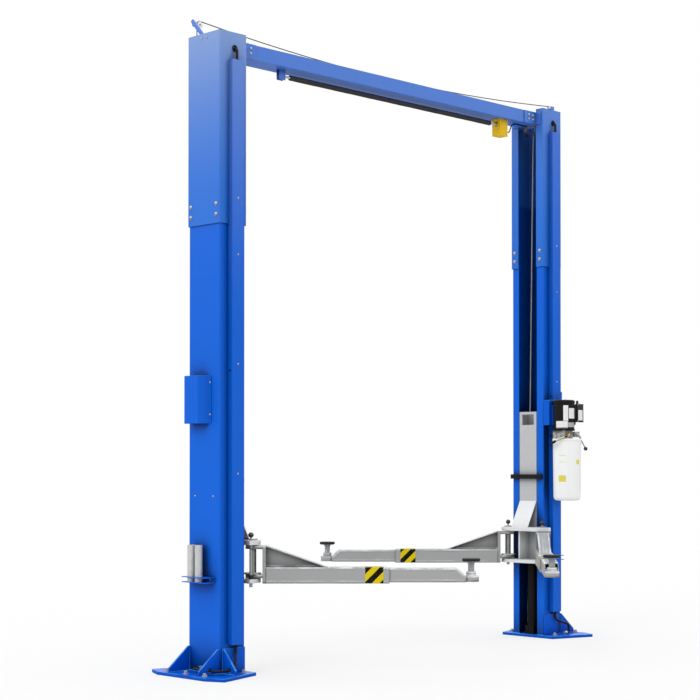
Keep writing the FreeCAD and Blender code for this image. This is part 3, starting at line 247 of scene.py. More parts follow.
def makePaintGroup():
    # powder coat or enamel: cloudy tone, orange peel, painted shade darkening the corners, and a painted
    # sheen paling the colour towards the top on the left
    tree, given, result = newGroup("paintCoatWithPaintedLight", {
        "Color": (0.5, 0.5, 0.5, 1),
        "Cloud": 0.06,
        "Peel Scale": 900.0,
        "Gloss": 0.3,
        "Painted Sheen Color": (0.24, 0.34, 0.6, 1),
        "Painted Sheen Start": 2.65,
        "Painted Sheen End": 3.75,
        "Painted Sheen Bend": 1.9,
        "Painted Sheen Amount": 0.0,
        "Painted Shade Reach": 0.09,
        "Painted Shade Tone": 0.5,
    }, ("Color", "Roughness", "Height"))
    place = objectPlace(tree)
    parts = split(tree, place)
    cloud = noise(tree, place, paintLook["cloudScale"], paintLook["cloudDetail"])
    tone = mathNode(tree, "MULTIPLY_ADD", mathNode(tree, "SUBTRACT", cloud, 0.5), given["Cloud"], 1.0)
    # ambient occlusion darkens the colour in corners, creases and recesses: painted shade
    shadeOcclusion = addNode(tree, "ShaderNodeAmbientOcclusion", {"Distance": given["Painted Shade Reach"]}, samples=6)
    corner = mapRange(tree, shadeOcclusion.outputs["AO"], *paintLook["shadeOpen"], given["Painted Shade Tone"], 1.0)
    # the colour pales towards the top, more on the left: a painted sheen
    sheenLeft = mapRange(tree, parts["X"], *paintLook["sheenFadeAcross"], *paintLook["sheenSharesAcross"])
    rise = mapRange(tree, parts["Z"], given["Painted Sheen Start"], given["Painted Sheen End"])
    high = product(tree, mathNode(tree, "POWER", rise, given["Painted Sheen Bend"]), sheenLeft)
    base = mixColour(tree, product(tree, high, given["Painted Sheen Amount"]), given["Color"], given["Painted Sheen Color"])
    tone = product(tree, tone, corner)
    toned = addNode(tree, "ShaderNodeVectorMath", {0: base, "Scale": tone}, operation="SCALE")
    rough = mathNode(tree, "MULTIPLY_ADD", cloud, paintLook["cloudRoughness"], given["Gloss"])
    tree.links.new(toned.outputs[0], result["Color"])
    tree.links.new(rough, result["Roughness"])
    tree.links.new(noise(tree, place, given["Peel Scale"], 1.0), result["Height"])
    return tree


scuffLook = {"stainDetail": 6.0, "fineness": 14.0, "spread": (0.42, 0.68), "stainRoughness": 0.3}


def makeScuffGroup():
    # fine scratches and stains on bare metal and rubber
    tree, given, result = newGroup("scuffs", {
        "Color": (0.5, 0.5, 0.5, 1),
        "Stain Color": (0.3, 0.3, 0.3, 1),
        "Stain": 0.4,
        "Scale": 60.0,
        "Gloss": 0.35,
    }, ("Color", "Roughness", "Height"))
    place = objectPlace(tree)
    stain = noise(tree, place, given["Scale"], scuffLook["stainDetail"])
    fine = noise(tree, place, product(tree, given["Scale"], scuffLook["fineness"]))
    amount = product(tree, mapRange(tree, stain, *scuffLook["spread"]), given["Stain"])
    rough = mathNode(tree, "MULTIPLY_ADD", amount, scuffLook["stainRoughness"], given["Gloss"])
    tree.links.new(mixColour(tree, amount, given["Color"], given["Stain Color"]), result["Color"])
    tree.links.new(rough, result["Roughness"])
    tree.links.new(fine, result["Height"])
    return tree


edgeLook = {
    "turned": (0.998, 0.95),
    "patchScale": 9.0,
    "patchDetail": 5.0,
    "patches": (0.35, 0.6),
    "lean": 0.25,
    # the colour of the painted shade along lower edges
    "paintedEdgeShade": (0.02, 0.02, 0.02, 1),
}


def makeEdgeGroup():
    # how near a sharp edge is, broken up a little, in one mask for upper edges and one for lower ones, which
    # the paints use for painted highlights and painted shade
    tree, given, result = newGroup("nearEdges", {"Radius": 0.003}, ("Upper", "Lower"))
    rounded = addNode(tree, "ShaderNodeBevel", {"Radius": given["Radius"]}, samples=8).outputs[0]
    flat = addNode(tree, "ShaderNodeNewGeometry").outputs["Normal"]
    match = addNode(tree, "ShaderNodeVectorMath", {0: rounded, 1: flat}, operation="DOT_PRODUCT")
    turned = mapRange(tree, match.outputs["Value"], *edgeLook["turned"])
    patchy = noise(tree, objectPlace(tree), edgeLook["patchScale"], edgeLook["patchDetail"])
    mask = product(tree, turned, mapRange(tree, patchy, *edgeLook["patches"]))
    upward = split(tree, rounded)["Z"]
    for label, lean in (("Upper", edgeLook["lean"]), ("Lower", -edgeLook["lean"])):
        tree.links.new(product(tree, mask, mapRange(tree, upward, 0.0, lean)), result[label])
    return tree


paintGroup = makePaintGroup()
edgeGroup = makeEdgeGroup()
scuffGroup = makeScuffGroup()


def newFinish(name):
    material, tree = newMaterial(name)
    skin = addNode(tree, "ShaderNodeBsdfPrincipled")
    addNode(tree, "ShaderNodeOutputMaterial", {0: skin.outputs[0]})
    return material, tree, skin


def bumpInto(tree, skin, height, depth, edge=0.0):
    # fine relief, over edges rounded to a radius where one is given
    inputs = {"Height": height, "Distance": depth, "Strength": 1.0}
    if edge:
        inputs["Normal"] = addNode(tree, "ShaderNodeBevel", {"Radius": edge}, samples=4).outputs[0]
    feed(tree, skin, {"Normal": addNode(tree, "ShaderNodeBump", inputs).outputs[0]})


# corner tone and reach set painted shade in corners and recesses; a high colour from its start level up is a
# painted sheen; the edge colour is a painted highlight along upper edges, and the low edge amount paints
# shade along lower edges
def paintFinish(name, colour, gloss=0.3, cloud=0.08, peel=700.0, depth=0.00006, edge=0.0015, specular=0.5,
                edgeHighlight=None, edgeHighlightAmount=0.6, lowEdgeShade=0.0, edgeRadius=0.003, high=None, sheenStart=2.65,
                corner=0.5, shadeReach=0.09):
    material, tree, skin = newFinish(name)
    values = {"Color": (*colour, 1), "Cloud": cloud, "Peel Scale": peel, "Gloss": gloss,
              "Painted Sheen Start": sheenStart, "Painted Shade Tone": corner, "Painted Shade Reach": shadeReach}
    # a painted sheen towards the top
    if high:
        values.update({"Painted Sheen Color": (*high, 1), "Painted Sheen Amount": 1.0})
    coat = addNode(tree, "ShaderNodeGroup", values, node_tree=paintGroup).outputs
    shade = coat["Color"]
    if edgeHighlight:
        # painted highlight along upper edges, then painted shade along lower ones
        near = addNode(tree, "ShaderNodeGroup", {"Radius": edgeRadius}, node_tree=edgeGroup).outputs
        shade = mixColour(tree, product(tree, near["Upper"], edgeHighlightAmount), shade, (*edgeHighlight, 1))
        shade = mixColour(tree, product(tree, near["Lower"], lowEdgeShade), shade, edgeLook["paintedEdgeShade"])
    feed(tree, skin, {"Base Color": shade, "Roughness": coat["Roughness"], "Specular IOR Level": specular})
    bumpInto(tree, skin, coat["Height"], depth, edge)
    return material


def scuffedFinish(name, colour, stainColour, stain=0.4, scale=60.0, gloss=0.35, metal=0.0, depth=0.00003,
                  specular=0.5):
    material, tree, skin = newFinish(name)
    values = {"Color": (*colour, 1), "Stain Color": (*stainColour, 1), "Stain": stain, "Scale": scale,
              "Gloss": gloss}
    worn = addNode(tree, "ShaderNodeGroup", values, node_tree=scuffGroup).outputs
    feed(tree, skin, {"Base Color": worn["Color"], "Roughness": worn["Roughness"], "Metallic": metal,
                      "Specular IOR Level": specular})
    bumpInto(tree, skin, worn["Height"], depth)
    return material


# in these paints the corner darkening is painted shade, an edge colour is a painted highlight along upper
# edges, and a low edge amount is painted shade along lower edges
bluePaint = paintFinish("bluePaint", (0.001, 0.118, 0.66), gloss=0.26, specular=0.2,
                        edgeHighlight=(0.15, 0.36, 0.9))
# strong, far-reaching painted shade in the columns' corners and insides
columnPaintWithPaintedShade = paintFinish("columnPaintWithPaintedShade", (0.001, 0.118, 0.66), gloss=0.26, specular=0.2,
                          edgeHighlight=(0.15, 0.36, 0.9), corner=0.12, shadeReach=0.24)
# strong pale-blue painted highlights along the upper edges of the plates, gussets and doublers
footPaintWithPaintedHighlights = paintFinish("footPaintWithPaintedHighlights", (0.0, 0.1, 0.62), gloss=0.34, specular=0.12,
                        edgeHighlight=(0.1, 0.5, 1.0), edgeHighlightAmount=1.0, edgeRadius=0.006, corner=0.7)
# a slightly paler blue, and a painted sheen that pales it further towards the top on the left
upperPaintWithPaintedSheen = paintFinish("upperPaintWithPaintedSheen", (0.012, 0.148, 0.63), gloss=0.26, specular=0.3,
                         edgeHighlight=(0.3, 0.5, 0.9), high=(0.21, 0.32, 0.6), corner=0.3,
                         shadeReach=0.2)
# a painted sheen paling the hose covers from 1.9 m up
coverPaintWithPaintedSheen = paintFinish("coverPaintWithPaintedSheen", (0.003, 0.118, 0.64), gloss=0.26, specular=0.2,
                         edgeHighlight=(0.15, 0.36, 0.9), high=(0.15, 0.26, 0.62), sheenStart=1.9)
# the blue paled all over by a painted sheen
beamPaintWithPaintedSheen = paintFinish("beamPaintWithPaintedSheen", (0.06, 0.185, 0.63), gloss=0.26, specular=0.28,
                        edgeHighlight=(0.3, 0.5, 0.9))
# on the arm tubes a bright painted highlight along upper edges and painted shade along lower ones stand in
# for light on rounded corners
silverPaint = paintFinish("silverPaint", (0.345, 0.35, 0.345), gloss=0.38, cloud=0.12, peel=500.0,
                          specular=0.35, edgeHighlight=(0.86, 0.9, 0.92), edgeHighlightAmount=1.0, lowEdgeShade=0.7,
                          edgeRadius=0.022, edge=0.012)
# a much paler copy of the silver paint: painted light from above on the brackets' sloping plates
bracketSilverWithPaintedLight = paintFinish("bracketSilverWithPaintedLight", (0.74, 0.75, 0.76), gloss=0.36, cloud=0.08, specular=0.35,
                            edgeHighlight=(0.85, 0.87, 0.88), edgeHighlightAmount=0.8, lowEdgeShade=0.5, edgeRadius=0.005)
# painted highlights along the masts' upper edges and painted shade along lower ones
paleSilver = paintFinish("paleSilver", (0.5, 0.51, 0.52), gloss=0.36, cloud=0.08, specular=0.35,
                         edgeHighlight=(0.8, 0.82, 0.84), edgeHighlightAmount=0.7, lowEdgeShade=0.5)
blackPaint = paintFinish("blackPaint", (0.007, 0.007, 0.008), gloss=0.34, cloud=0.3, specular=0.15)
whiteMoulding = paintFinish("whiteMoulding", (0.88, 0.885, 0.88), gloss=0.42, cloud=0.03, peel=260.0,
                            depth=0.0001, edge=0.0, corner=0.85)
brightZinc = scuffedFinish("brightZinc", (0.4, 0.41, 0.42), (0.25, 0.25, 0.24), gloss=0.42, metal=0.5)
dullZinc = scuffedFinish("dullZinc", (0.6, 0.61, 0.6), (0.42, 0.41, 0.38), gloss=0.42, metal=0.2, scale=25.0)
turnedSteel = scuffedFinish("turnedSteel", (0.46, 0.46, 0.45), (0.3, 0.25, 0.19), gloss=0.34, metal=1.0)
castAlloy = scuffedFinish("castAlloy", (0.46, 0.46, 0.45), (0.1, 0.1, 0.1), stain=0.75, gloss=0.5, metal=0.4,
                          scale=55.0, depth=0.0004)
brass = scuffedFinish("brass", (0.72, 0.52, 0.2), (0.4, 0.28, 0.12), gloss=0.28, metal=1.0)
paleBrass = scuffedFinish("paleBrass", (0.5, 0.46, 0.28), (0.3, 0.27, 0.15), gloss=0.35, metal=0.4)
blackRubber = scuffedFinish("blackRubber", (0.008, 0.008, 0.009), (0.02, 0.02, 0.02), gloss=0.5, scale=30.0,
                            specular=0.15)
padRubber = scuffedFinish("padRubber", (0.01, 0.018, 0.02), (0.035, 0.038, 0.036), gloss=0.62, scale=45.0,
                          depth=0.0001, specular=0.2)
blackMoulding = scuffedFinish("blackMoulding", (0.014, 0.014, 0.015), (0.03, 0.03, 0.03), gloss=0.36,
                              scale=20.0, specular=0.2)
yellowMoulding = scuffedFinish("yellowMoulding", (0.86, 0.55, 0.012), (0.45, 0.25, 0.02), gloss=0.4,
                               stain=0.2, specular=0.12)
blankLabel = scuffedFinish("blankLabel", (0.8, 0.8, 0.79), (0.66, 0.66, 0.64), gloss=0.4, stain=0.15,
                           scale=18.0)
silverLabel = scuffedFinish("silverLabel", (0.55, 0.56, 0.57), (0.42, 0.42, 0.42), gloss=0.3, metal=0.6,
                            stain=0.2)
foamSkin = scuffedFinish("foamSkin", (0.022, 0.023, 0.025), (0.07, 0.07, 0.07), gloss=0.75, scale=140.0,
                         stain=0.5, depth=0.0006)
yellowLabel = scuffedFinish("yellowLabel", (0.72, 0.66, 0.06), (0.6, 0.52, 0.06), gloss=0.4, stain=0.15)


ropeLook = {
    "turn": (0.0, 45.0, 30.0),
    "scale": 70.0,
    "uneven": 0.4,
    "metal": 0.6,
    "roughness": 0.4,
    "depth": 0.0008,
}


def ropeFinish(name, dark, bright):
    # strands show as slanting ridges along both the upright and the level runs
    material, tree, skin = newFinish(name)
    turn = [math.radians(angle) for angle in ropeLook["turn"]]
    slant = addNode(tree, "ShaderNodeMapping", {0: objectPlace(tree), 2: turn}).outputs[0]
    strands = addNode(tree, "ShaderNodeTexWave",
                      {"Vector": slant, "Scale": ropeLook["scale"], "Distortion": ropeLook["uneven"]},
                      wave_type="BANDS", bands_direction="X").outputs["Fac"]
    feed(tree, skin, {"Base Color": mixColour(tree, strands, (*dark, 1), (*bright, 1)),
                      "Metallic": ropeLook["metal"], "Roughness": ropeLook["roughness"]})
    bumpInto(tree, skin, strands, ropeLook["depth"])
    return material


grainLook = {"scale": 300.0, "roughness": 0.1, "depth": 0.00004}


def levelFinish(name, level, below, above, metal, rough=(0.32, 0.3), ring=None):
    # one turned piece in two finishes, split at a level, with a ring of a third tone where one is given
    material, tree, skin = newFinish(name)
    place = objectPlace(tree)
    height = split(tree, place)["Z"]
    top = mathNode(tree, "GREATER_THAN", height, level)
    grain = noise(tree, place, grainLook["scale"])
    colour = mixColour(tree, top, (*below, 1), (*above, 1))
    if ring:
        middle, half, tone = ring
        inside = mathNode(tree, "COMPARE", height, middle, half)
        colour = mixColour(tree, inside, colour, (*tone, 1))
    dull = mathNode(tree, "MULTIPLY_ADD", grain, grainLook["roughness"], mixValue(tree, top, *rough))
    feed(tree, skin, {"Base Color": colour, "Metallic": mixValue(tree, top, *metal), "Roughness": dull})
    bumpInto(tree, skin, grain, grainLook["depth"])
    return material


bandLook = {
    "yellow": (0.68, 0.53, 0.002, 1),
    "black": (0.004, 0.004, 0.004, 1),
    "stainColour": (0.3, 0.25, 0.05, 1),
    "stain": 0.06,
    "specular": 0.1,
    "depth": 0.00002,
}


def bandFinish(name, pitch, share):
    # slanting black and yellow stripes along the piece's own map
    material, tree, skin = newFinish(name)
    place = split(tree, addNode(tree, "ShaderNodeUVMap", uv_map="band").outputs[0])
    slant = mathNode(tree, "SUBTRACT", place["X"], place["Y"])
    phase = mathNode(tree, "FRACT", mathNode(tree, "DIVIDE", slant, pitch))
    dark = mathNode(tree, "LESS_THAN", phase, share)
    striped = mixColour(tree, dark, bandLook["yellow"], bandLook["black"])
    values = {"Color": striped, "Stain Color": bandLook["stainColour"], "Stain": bandLook["stain"]}
    worn = addNode(tree, "ShaderNodeGroup", values, node_tree=scuffGroup).outputs
    feed(tree, skin, {"Base Color": worn["Color"], "Roughness": worn["Roughness"],
                      "Specular IOR Level": bandLook["specular"]})
    bumpInto(tree, skin, worn["Height"], bandLook["depth"])
    return material


hazardBand = bandFinish("hazardBand", 0.09, 0.5)
wireRope = ropeFinish("wireRope", (0.33, 0.32, 0.3), (0.72, 0.72, 0.7))
thinRope = ropeFinish("thinRope", (0.02, 0.02, 0.02), (0.07, 0.07, 0.07))
pullPin = levelFinish("pullPin", 0.7835, (0.45, 0.45, 0.44), (0.012, 0.012, 0.013), (0.6, 0.0),
                      ring=(0.558, 0.0118, (0.05, 0.032, 0.022)))
leverFinish = levelFinish("leverFinish", 1.326, (0.012, 0.012, 0.013), (0.16, 0.16, 0.165), (0.0, 0.2),
                          (0.25, 0.35))


def dress(finish, *names):
    for name in names:
        for slot in nodes[name].material_slots:
            slot.material = finish


def bothSides(*stems):
    return [f"{stem}_{side}" for stem in stems for side in sides]


dress(bluePaint, "pulley_brackets", "lock_covers", "adapter_racks")
dress(columnPaintWithPaintedShade, *bothSides("column"))
dress(coverPaintWithPaintedSheen, "hose_covers")
dress(footPaintWithPaintedHighlights, "base_plates", "base_gussets", "power_bracket")
dress(upperPaintWithPaintedSheen, *bothSides("sleeve"))
dress(beamPaintWithPaintedSheen, "overhead_beam", "beam_brackets", "shutoff_bracket", "release_brackets")
dress(silverPaint, *bothSides("short_outer", "long_outer", "short_inner", "long_inner"))
dress(paleSilver, *bothSides("mast"))
dress(bracketSilverWithPaintedLight, *bothSides("arm_bracket"))
dress(blackPaint, "lift_cylinders", "power_motor")
dress(whiteMoulding, "power_tank")
dress(castAlloy, "power_pump")
dress(dullZinc, "pad_adapters", "shutoff_bar")
dress(turnedSteel, "cable_pulleys", "release_wheels", *bothSides("arm_pins", "short_screw", "long_screw"))
dress(wireRope, "equalizer_cable")
dress(thinRope, "release_cable")
dress(blackMoulding, "control_box", "shutoff_foam")
dress(yellowMoulding, "shutoff_switch")
dress(blackRubber, "hoses", *bothSides("door_guard"))
dress(padRubber, *bothSides("short_pad", "long_pad"))
dress(pullPin, *bothSides("short_lock", "long_lock"))
dress(leverFinish, "release_lever")
dress(brightZinc, "hose_fittings")
print("finishes made")


# places given in a column's own frame: out towards the bay, aside, and up, in metres
columnX = 1.472
up = Vector((0, 0, 1))
front = Vector((0, -1, 0))


def columnPoint(side, out, aside, height):
    sign = sides[side]
    return Vector((sign * (columnX - out), -sign * aside, height))


def columnWay(side, out, aside, rise=0.0):
    sign = sides[side]
    return Vector((-sign * out, -sign * aside, rise))


# fasteners and weld beads, placed by trees that keep to points or runs

def newGeometryTree(name, inputs):
    # whole numbers are seeds, and the others are sizes
    tree = bpy.data.node_groups.new(name, "GeometryNodeTree")
    tree.interface.new_socket("Geometry", in_out="INPUT", socket_type="NodeSocketGeometry")
    for label, value in inputs.items():
        kind = "NodeSocketInt" if isinstance(value, int) else "NodeSocketFloat"
        tree.interface.new_socket(label, in_out="INPUT", socket_type=kind).default_value = value
    tree.interface.new_socket("Material", in_out="INPUT", socket_type="NodeSocketMaterial")
    tree.interface.new_socket("Geometry", in_out="OUTPUT", socket_type="NodeSocketGeometry")
    return tree, tree.nodes.new("NodeGroupInput").outputs, tree.nodes.new("NodeGroupOutput").inputs


def smoothed(tree, geometry):
    return addNode(tree, "GeometryNodeSetShadeSmooth", {"Geometry": geometry}).outputs[0]


def endTree(tree, given, result, many, smooth=False):
    real = addNode(tree, "GeometryNodeRealizeInstances", {0: many.outputs[0]}).outputs[0]
    if smooth:
        real = smoothed(tree, real)
    done = addNode(tree, "GeometryNodeSetMaterial", {0: real, "Material": given["Material"]}).outputs[0]
    tree.links.new(done, result[0])


def vector(tree, x=0.0, y=0.0, z=0.0):
    return addNode(tree, "ShaderNodeCombineXYZ", {0: x, 1: y, 2: z}).outputs[0]


def disc(tree, radius, height, bottom=0.0, corners=24, rings=1):
    sizes = {"Vertices": corners, "Side Segments": rings, "Radius": radius, "Depth": height}
    solid = addNode(tree, "GeometryNodeMeshCylinder", sizes).outputs["Mesh"]
    lift = vector(tree, z=mathNode(tree, "MULTIPLY_ADD", height, 0.5, bottom))
    return addNode(tree, "GeometryNodeTransform", {"Geometry": solid, "Translation": lift}).outputs[0]


def scatter(tree, given, result, parts):
    # the joined parts at each point, turned to its facing
    joined = addNode(tree, "GeometryNodeJoinGeometry")
    for part in reversed(parts):
        tree.links.new(part, joined.inputs[0])
    facing = addNode(tree, "GeometryNodeInputNamedAttribute", {"Name": "facing"}, data_type="FLOAT_VECTOR")
    turn = addNode(tree, "FunctionNodeAlignRotationToVector", {"Vector": facing.outputs[0]}, axis="Z")
    many = addNode(tree, "GeometryNodeInstanceOnPoints",
                   {"Points": given[0], "Instance": joined.outputs[0], "Rotation": turn.outputs[0]})
    endTree(tree, given, result, many)


domeShare = 0.96


def makeRoundHeadTree():
    # a domed head on a washer
    tree, given, result = newGeometryTree("roundHeads", {
        "Radius": 0.012, "Height": 0.007, "Washer Radius": 0.015, "Washer Thickness": 0.002})
    washer = disc(tree, given["Washer Radius"], given["Washer Thickness"])
    head = disc(tree, given["Radius"], given["Height"], given["Washer Thickness"], rings=5)
    place = addNode(tree, "GeometryNodeInputPosition").outputs[0]
    above = mathNode(tree, "SUBTRACT", split(tree, place)["Z"], given["Washer Thickness"])
    share = product(tree, mathNode(tree, "DIVIDE", above, given["Height"]), domeShare)
    shrink = mathNode(tree, "SQRT", mathNode(tree, "SUBTRACT", 1.0, product(tree, share, share)))
    moved = addNode(tree, "ShaderNodeVectorMath", {0: place, 1: vector(tree, shrink, shrink, 1.0)},
                    operation="MULTIPLY").outputs[0]
    domed = addNode(tree, "GeometryNodeSetPosition", {"Geometry": head, "Position": moved}).outputs[0]
    scatter(tree, given, result, [washer, smoothed(tree, domed)])
    return tree


crownSizes = {"share": 0.84, "rise": 0.08}


def makeHexTree():
    # a washer, a nut or head with its round crown, and the stud's end
    tree, given, result = newGeometryTree("hexHeads", {
        "Radius": 0.012, "Height": 0.008, "Washer Radius": 0.016, "Washer Thickness": 0.002,
        "Stud Radius": 0.006, "Stud Height": 0.001})
    washer = disc(tree, given["Washer Radius"], given["Washer Thickness"])
    head = disc(tree, given["Radius"], given["Height"], given["Washer Thickness"], corners=6)
    top = mathNode(tree, "ADD", given["Washer Thickness"], given["Height"])
    crown = disc(tree, product(tree, given["Radius"], crownSizes["share"]),
                 product(tree, given["Height"], crownSizes["rise"]), top)
    stud = disc(tree, given["Stud Radius"], given["Stud Height"], top, corners=16)
    scatter(tree, given, result, [washer, head, crown, stud])
    return tree


beadSizes = {"smallest": (0.85, 0.85, 0.7), "largest": (1.1, 1.1, 0.95), "seed": 4}


def makeWeldTree():
    # small uneven beads close together along runs
    tree, given, result = newGeometryTree("weldBeads", {
        "Radius": 0.003, "Pitch": 0.004, "Seed": beadSizes["seed"]})
    run = addNode(tree, "GeometryNodeMeshToCurve", {0: given[0]}).outputs[0]
    points = addNode(tree, "GeometryNodeCurveToPoints", {"Curve": run, "Length": given["Pitch"]},
                     mode="LENGTH").outputs
    bead = addNode(tree, "GeometryNodeMeshUVSphere", {"Segments": 8, "Rings": 5, "Radius": given["Radius"]})
    spread = {0: beadSizes["smallest"], 1: beadSizes["largest"], 8: given["Seed"]}
    uneven = addNode(tree, "FunctionNodeRandomValue", spread, data_type="FLOAT_VECTOR")
    many = addNode(tree, "GeometryNodeInstanceOnPoints",
                   {"Points": points["Points"], "Instance": bead.outputs["Mesh"],
                    "Rotation": points["Rotation"], "Scale": uneven.outputs[0]})
    endTree(tree, given, result, many, smooth=True)
    return tree


roundHeads = makeRoundHeadTree()
hexHeads = makeHexTree()
weldBeads = makeWeldTree()


def grow(tree, points, facings, sizes, finish, name, edges=()):
    # runs a tree on points or runs and keeps the result as a plain mesh
    seed = bpy.data.meshes.new(name + "Points")
    seed.from_pydata([tuple(point) for point in points], edges, [])
    if facings:
        facing = seed.attributes.new("facing", "FLOAT_VECTOR", "POINT")
        facing.data.foreach_set("vector", [number for way in facings for number in way])
    holder = bpy.data.objects.new(name + "Points", seed)
    scene.collection.objects.link(holder)
    modifier = holder.modifiers.new("grow", "NODES")
    modifier.node_group = tree
    sockets = {item.name: item.identifier for item in tree.interface.items_tree if item.in_out == "INPUT"}
    for label, value in {**sizes, "Material": finish}.items():
        modifier[sockets[label]] = value
    bpy.context.view_layer.update()
    ready = holder.evaluated_get(bpy.context.evaluated_depsgraph_get())
    mesh = bpy.data.meshes.new_from_object(ready)
    holder.modifiers.remove(modifier)
    bpy.data.objects.remove(holder)
    mesh.name = name
    piece = bpy.data.objects.new(name, mesh)
    scene.collection.objects.link(piece)
    return piece


def fasten(name, body, tree, spots, sizes, finish):
    piece = grow(tree, [spot for spot, way in spots], [way for spot, way in spots], sizes, finish, name)
    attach(piece, body)


sleeveBolts = {
    "head": {"Radius": 0.0105, "Height": 0.0065, "Washer Radius": 0.013},
    "levels": (2.632, 2.692),
    "face": 0.1015,
    "edge": 0.112,
    "lip": 0.111,
}


def addSleeveBolts():
    face, edge, lip = sleeveBolts["face"], sleeveBolts["edge"], sleeveBolts["lip"]
    spots = []
    for side in sides:
        for level in sleeveBolts["levels"]:
            for sign in (-1, 1):
                spots.append((columnPoint(side, -face, sign * edge, level), columnWay(side, -1, 0)))
                spots.append((columnPoint(side, face, sign * lip, level), columnWay(side, 1, 0)))
    fasten("sleeveBolts", "root", roundHeads, spots, sleeveBolts["head"], brightZinc)


anchorBolts = {
    "head": {"Radius": 0.013, "Height": 0.0105, "Washer Radius": 0.017, "Washer Thickness": 0.003,
             "Stud Radius": 0.008, "Stud Height": 0.006},
    "places": ((-0.228, 0), (-0.228, 0.165), (-0.228, -0.165), (0.04, 0.19), (0.04, -0.19)),
    "plateTop": 0.019,
}


def addAnchors():
    spots = [(columnPoint(side, out, aside, anchorBolts["plateTop"]), up)
             for side in sides for out, aside in anchorBolts["places"]]
    fasten("anchorNuts", "root", hexHeads, spots, anchorBolts["head"], brightZinc)


beamBolts = {
    "head": {"Radius": 0.008, "Height": 0.005, "Washer Radius": 0.0095},
    "levels": (3.603, 3.633),
    "reaches": (-1.285, 1.290, 1.335),
    "face": 0.081,
}


def addBeamBolts():
    spots = [(Vector((-sign * reach, sign * beamBolts["face"], level)), Vector((0, sign, 0)))
             for level in beamBolts["levels"] for reach in beamBolts["reaches"] for sign in (-1, 1)]
    fasten("beamBolts", "root", roundHeads, spots, beamBolts["head"], brightZinc)


# the outer ones are out, aside and up: two near the sleeve's top, two on the column's face, two on the lock
# cover's flange and two at the rack
smallScrews = {
    "head": {"Radius": 0.0055, "Height": 0.003, "Washer Radius": 0.0062, "Washer Thickness": 0.0008},
    "coverLevels": (1.153, 1.779, 2.405, 2.728),
    "coverOut": 0.011,
    "coverFace": -0.173,
    "outer": ((-0.102, -0.025, 3.655), (-0.102, 0.019, 3.655), (-0.095, -0.08, 1.025), (-0.095, 0.08, 1.025),
              (-0.098, -0.055, 1.492), (-0.098, -0.055, 1.675), (-0.1, -0.06, 0.55), (-0.1, 0.075, 0.55)),
}


def addSmallScrews():
    spots = []
    for side in sides:
        x, y = sides[side] * columnX + smallScrews["coverOut"], smallScrews["coverFace"]
        spots += [(Vector((x, y, level)), front) for level in smallScrews["coverLevels"]]
        spots += [(columnPoint(side, *place), columnWay(side, -1, 0)) for place in smallScrews["outer"]]
    fasten("smallScrews", "root", roundHeads, spots, smallScrews["head"], brightZinc)


addSleeveBolts()
addAnchors()
addBeamBolts()
addSmallScrews()
print("fasteners placed")


# meshes built ring by ring

def addRings(shape, rings, ends="open"):
    # skin between rings of points, where a ring of one point is a pole
    made = [[shape.verts.new(point) for point in ring] for ring in rings]
    pairs = list(zip(made, made[1:]))
    if ends == "joined":
        pairs.append((made[-1], made[0]))
    for low, high in pairs:
        count = max(len(low), len(high))
        for index in range(count):
            after = (index + 1) % count
            corners = [low[index % len(low)], low[after % len(low)],
                       high[after % len(high)], high[index % len(high)]]
            shape.faces.new(list(dict.fromkeys(corners)))
    if ends == "capped":
        shape.faces.new(made[0])
        shape.faces.new(made[-1])
    return made


def stand(place, way=(0, 0, 1)):
    return Matrix.Translation(place) @ Vector(way).to_track_quat("Z", "Y").to_matrix().to_4x4()


def circle(radius, level, corners):
    if not radius:
        return [Vector((0, 0, level))]
    steps = [2 * math.pi * index / corners for index in range(corners)]
    return [Vector((radius * math.cos(step), radius * math.sin(step), level)) for step in steps]


def addTurned(shape, profile, where, corners=32, ends="open"):
    rings = [circle(radius, level, corners) for radius, level in profile]
    addRings(shape, [[where @ point for point in ring] for ring in rings], ends)


def addBox(shape, low, high, soft=0.0):
    # a block with rounded edges where a radius is given
    low, high = Vector(low), Vector(high)
    place = Matrix.Translation((low + high) / 2) @ Matrix.Diagonal((*(high - low), 1))
    corners = bmesh.ops.create_cube(shape, size=1, matrix=place)["verts"]
    if soft:
        edges = {edge for corner in corners for edge in corner.link_edges}
        bmesh.ops.bevel(shape, geom=list(edges), offset=soft, segments=3, affect="EDGES", profile=0.5)


def addRod(shape, points, radius, corners=12):
    # a round bar along points, with its ends closed
    points = [Vector(point) for point in points]
    ways = [(after - before).normalized() for before, after in
            zip([points[0], *points[:-1]], [*points[1:], points[-1]])]
    turn = ways[0].to_track_quat("Z", "Y")
    rings = []
    for index, (point, way) in enumerate(zip(points, ways)):
        if index:
            turn = ways[index - 1].rotation_difference(way) @ turn
        rings.append([point + turn @ spoke for spoke in circle(radius, 0, corners)])
    addRings(shape, rings, "capped")


def smoothRun(points):
    # points along one smooth spline that the given points steer
    curve = bpy.data.curves.new("run", "CURVE")
    curve.dimensions = "3D"
    spline = curve.splines.new("NURBS")
    spline.points.add(len(points) - 1)
    for given, point in zip(spline.points, points):
        given.co = (*point, 1)
    spline.order_u = 3
    spline.use_endpoint_u = True
    spline.resolution_u = 8
    holder = bpy.data.objects.new("run", curve)
    mesh = bpy.data.meshes.new_from_object(holder)
    run = [corner.co.copy() for corner in mesh.vertices]
    bpy.data.objects.remove(holder)
    bpy.data.curves.remove(curve)
    bpy.data.meshes.remove(mesh)
    return run


def addArc(shape, centre, radiusAt, start, end, low, high, thickness, steps=10):
    # a thin curved plate on a round wall, between two angles in degrees
    rings = []
    for index in range(steps + 1):
        angle = math.radians(start + (end - start) * index / steps)
        way = Vector((math.cos(angle), math.sin(angle), 0))
        rings.append([Vector((*centre, level)) + way * (radiusAt(level) + lift) for lift, level in
                      ((0, low), (thickness, low), (thickness, high), (0, high))])
    addRings(shape, rings, "capped")


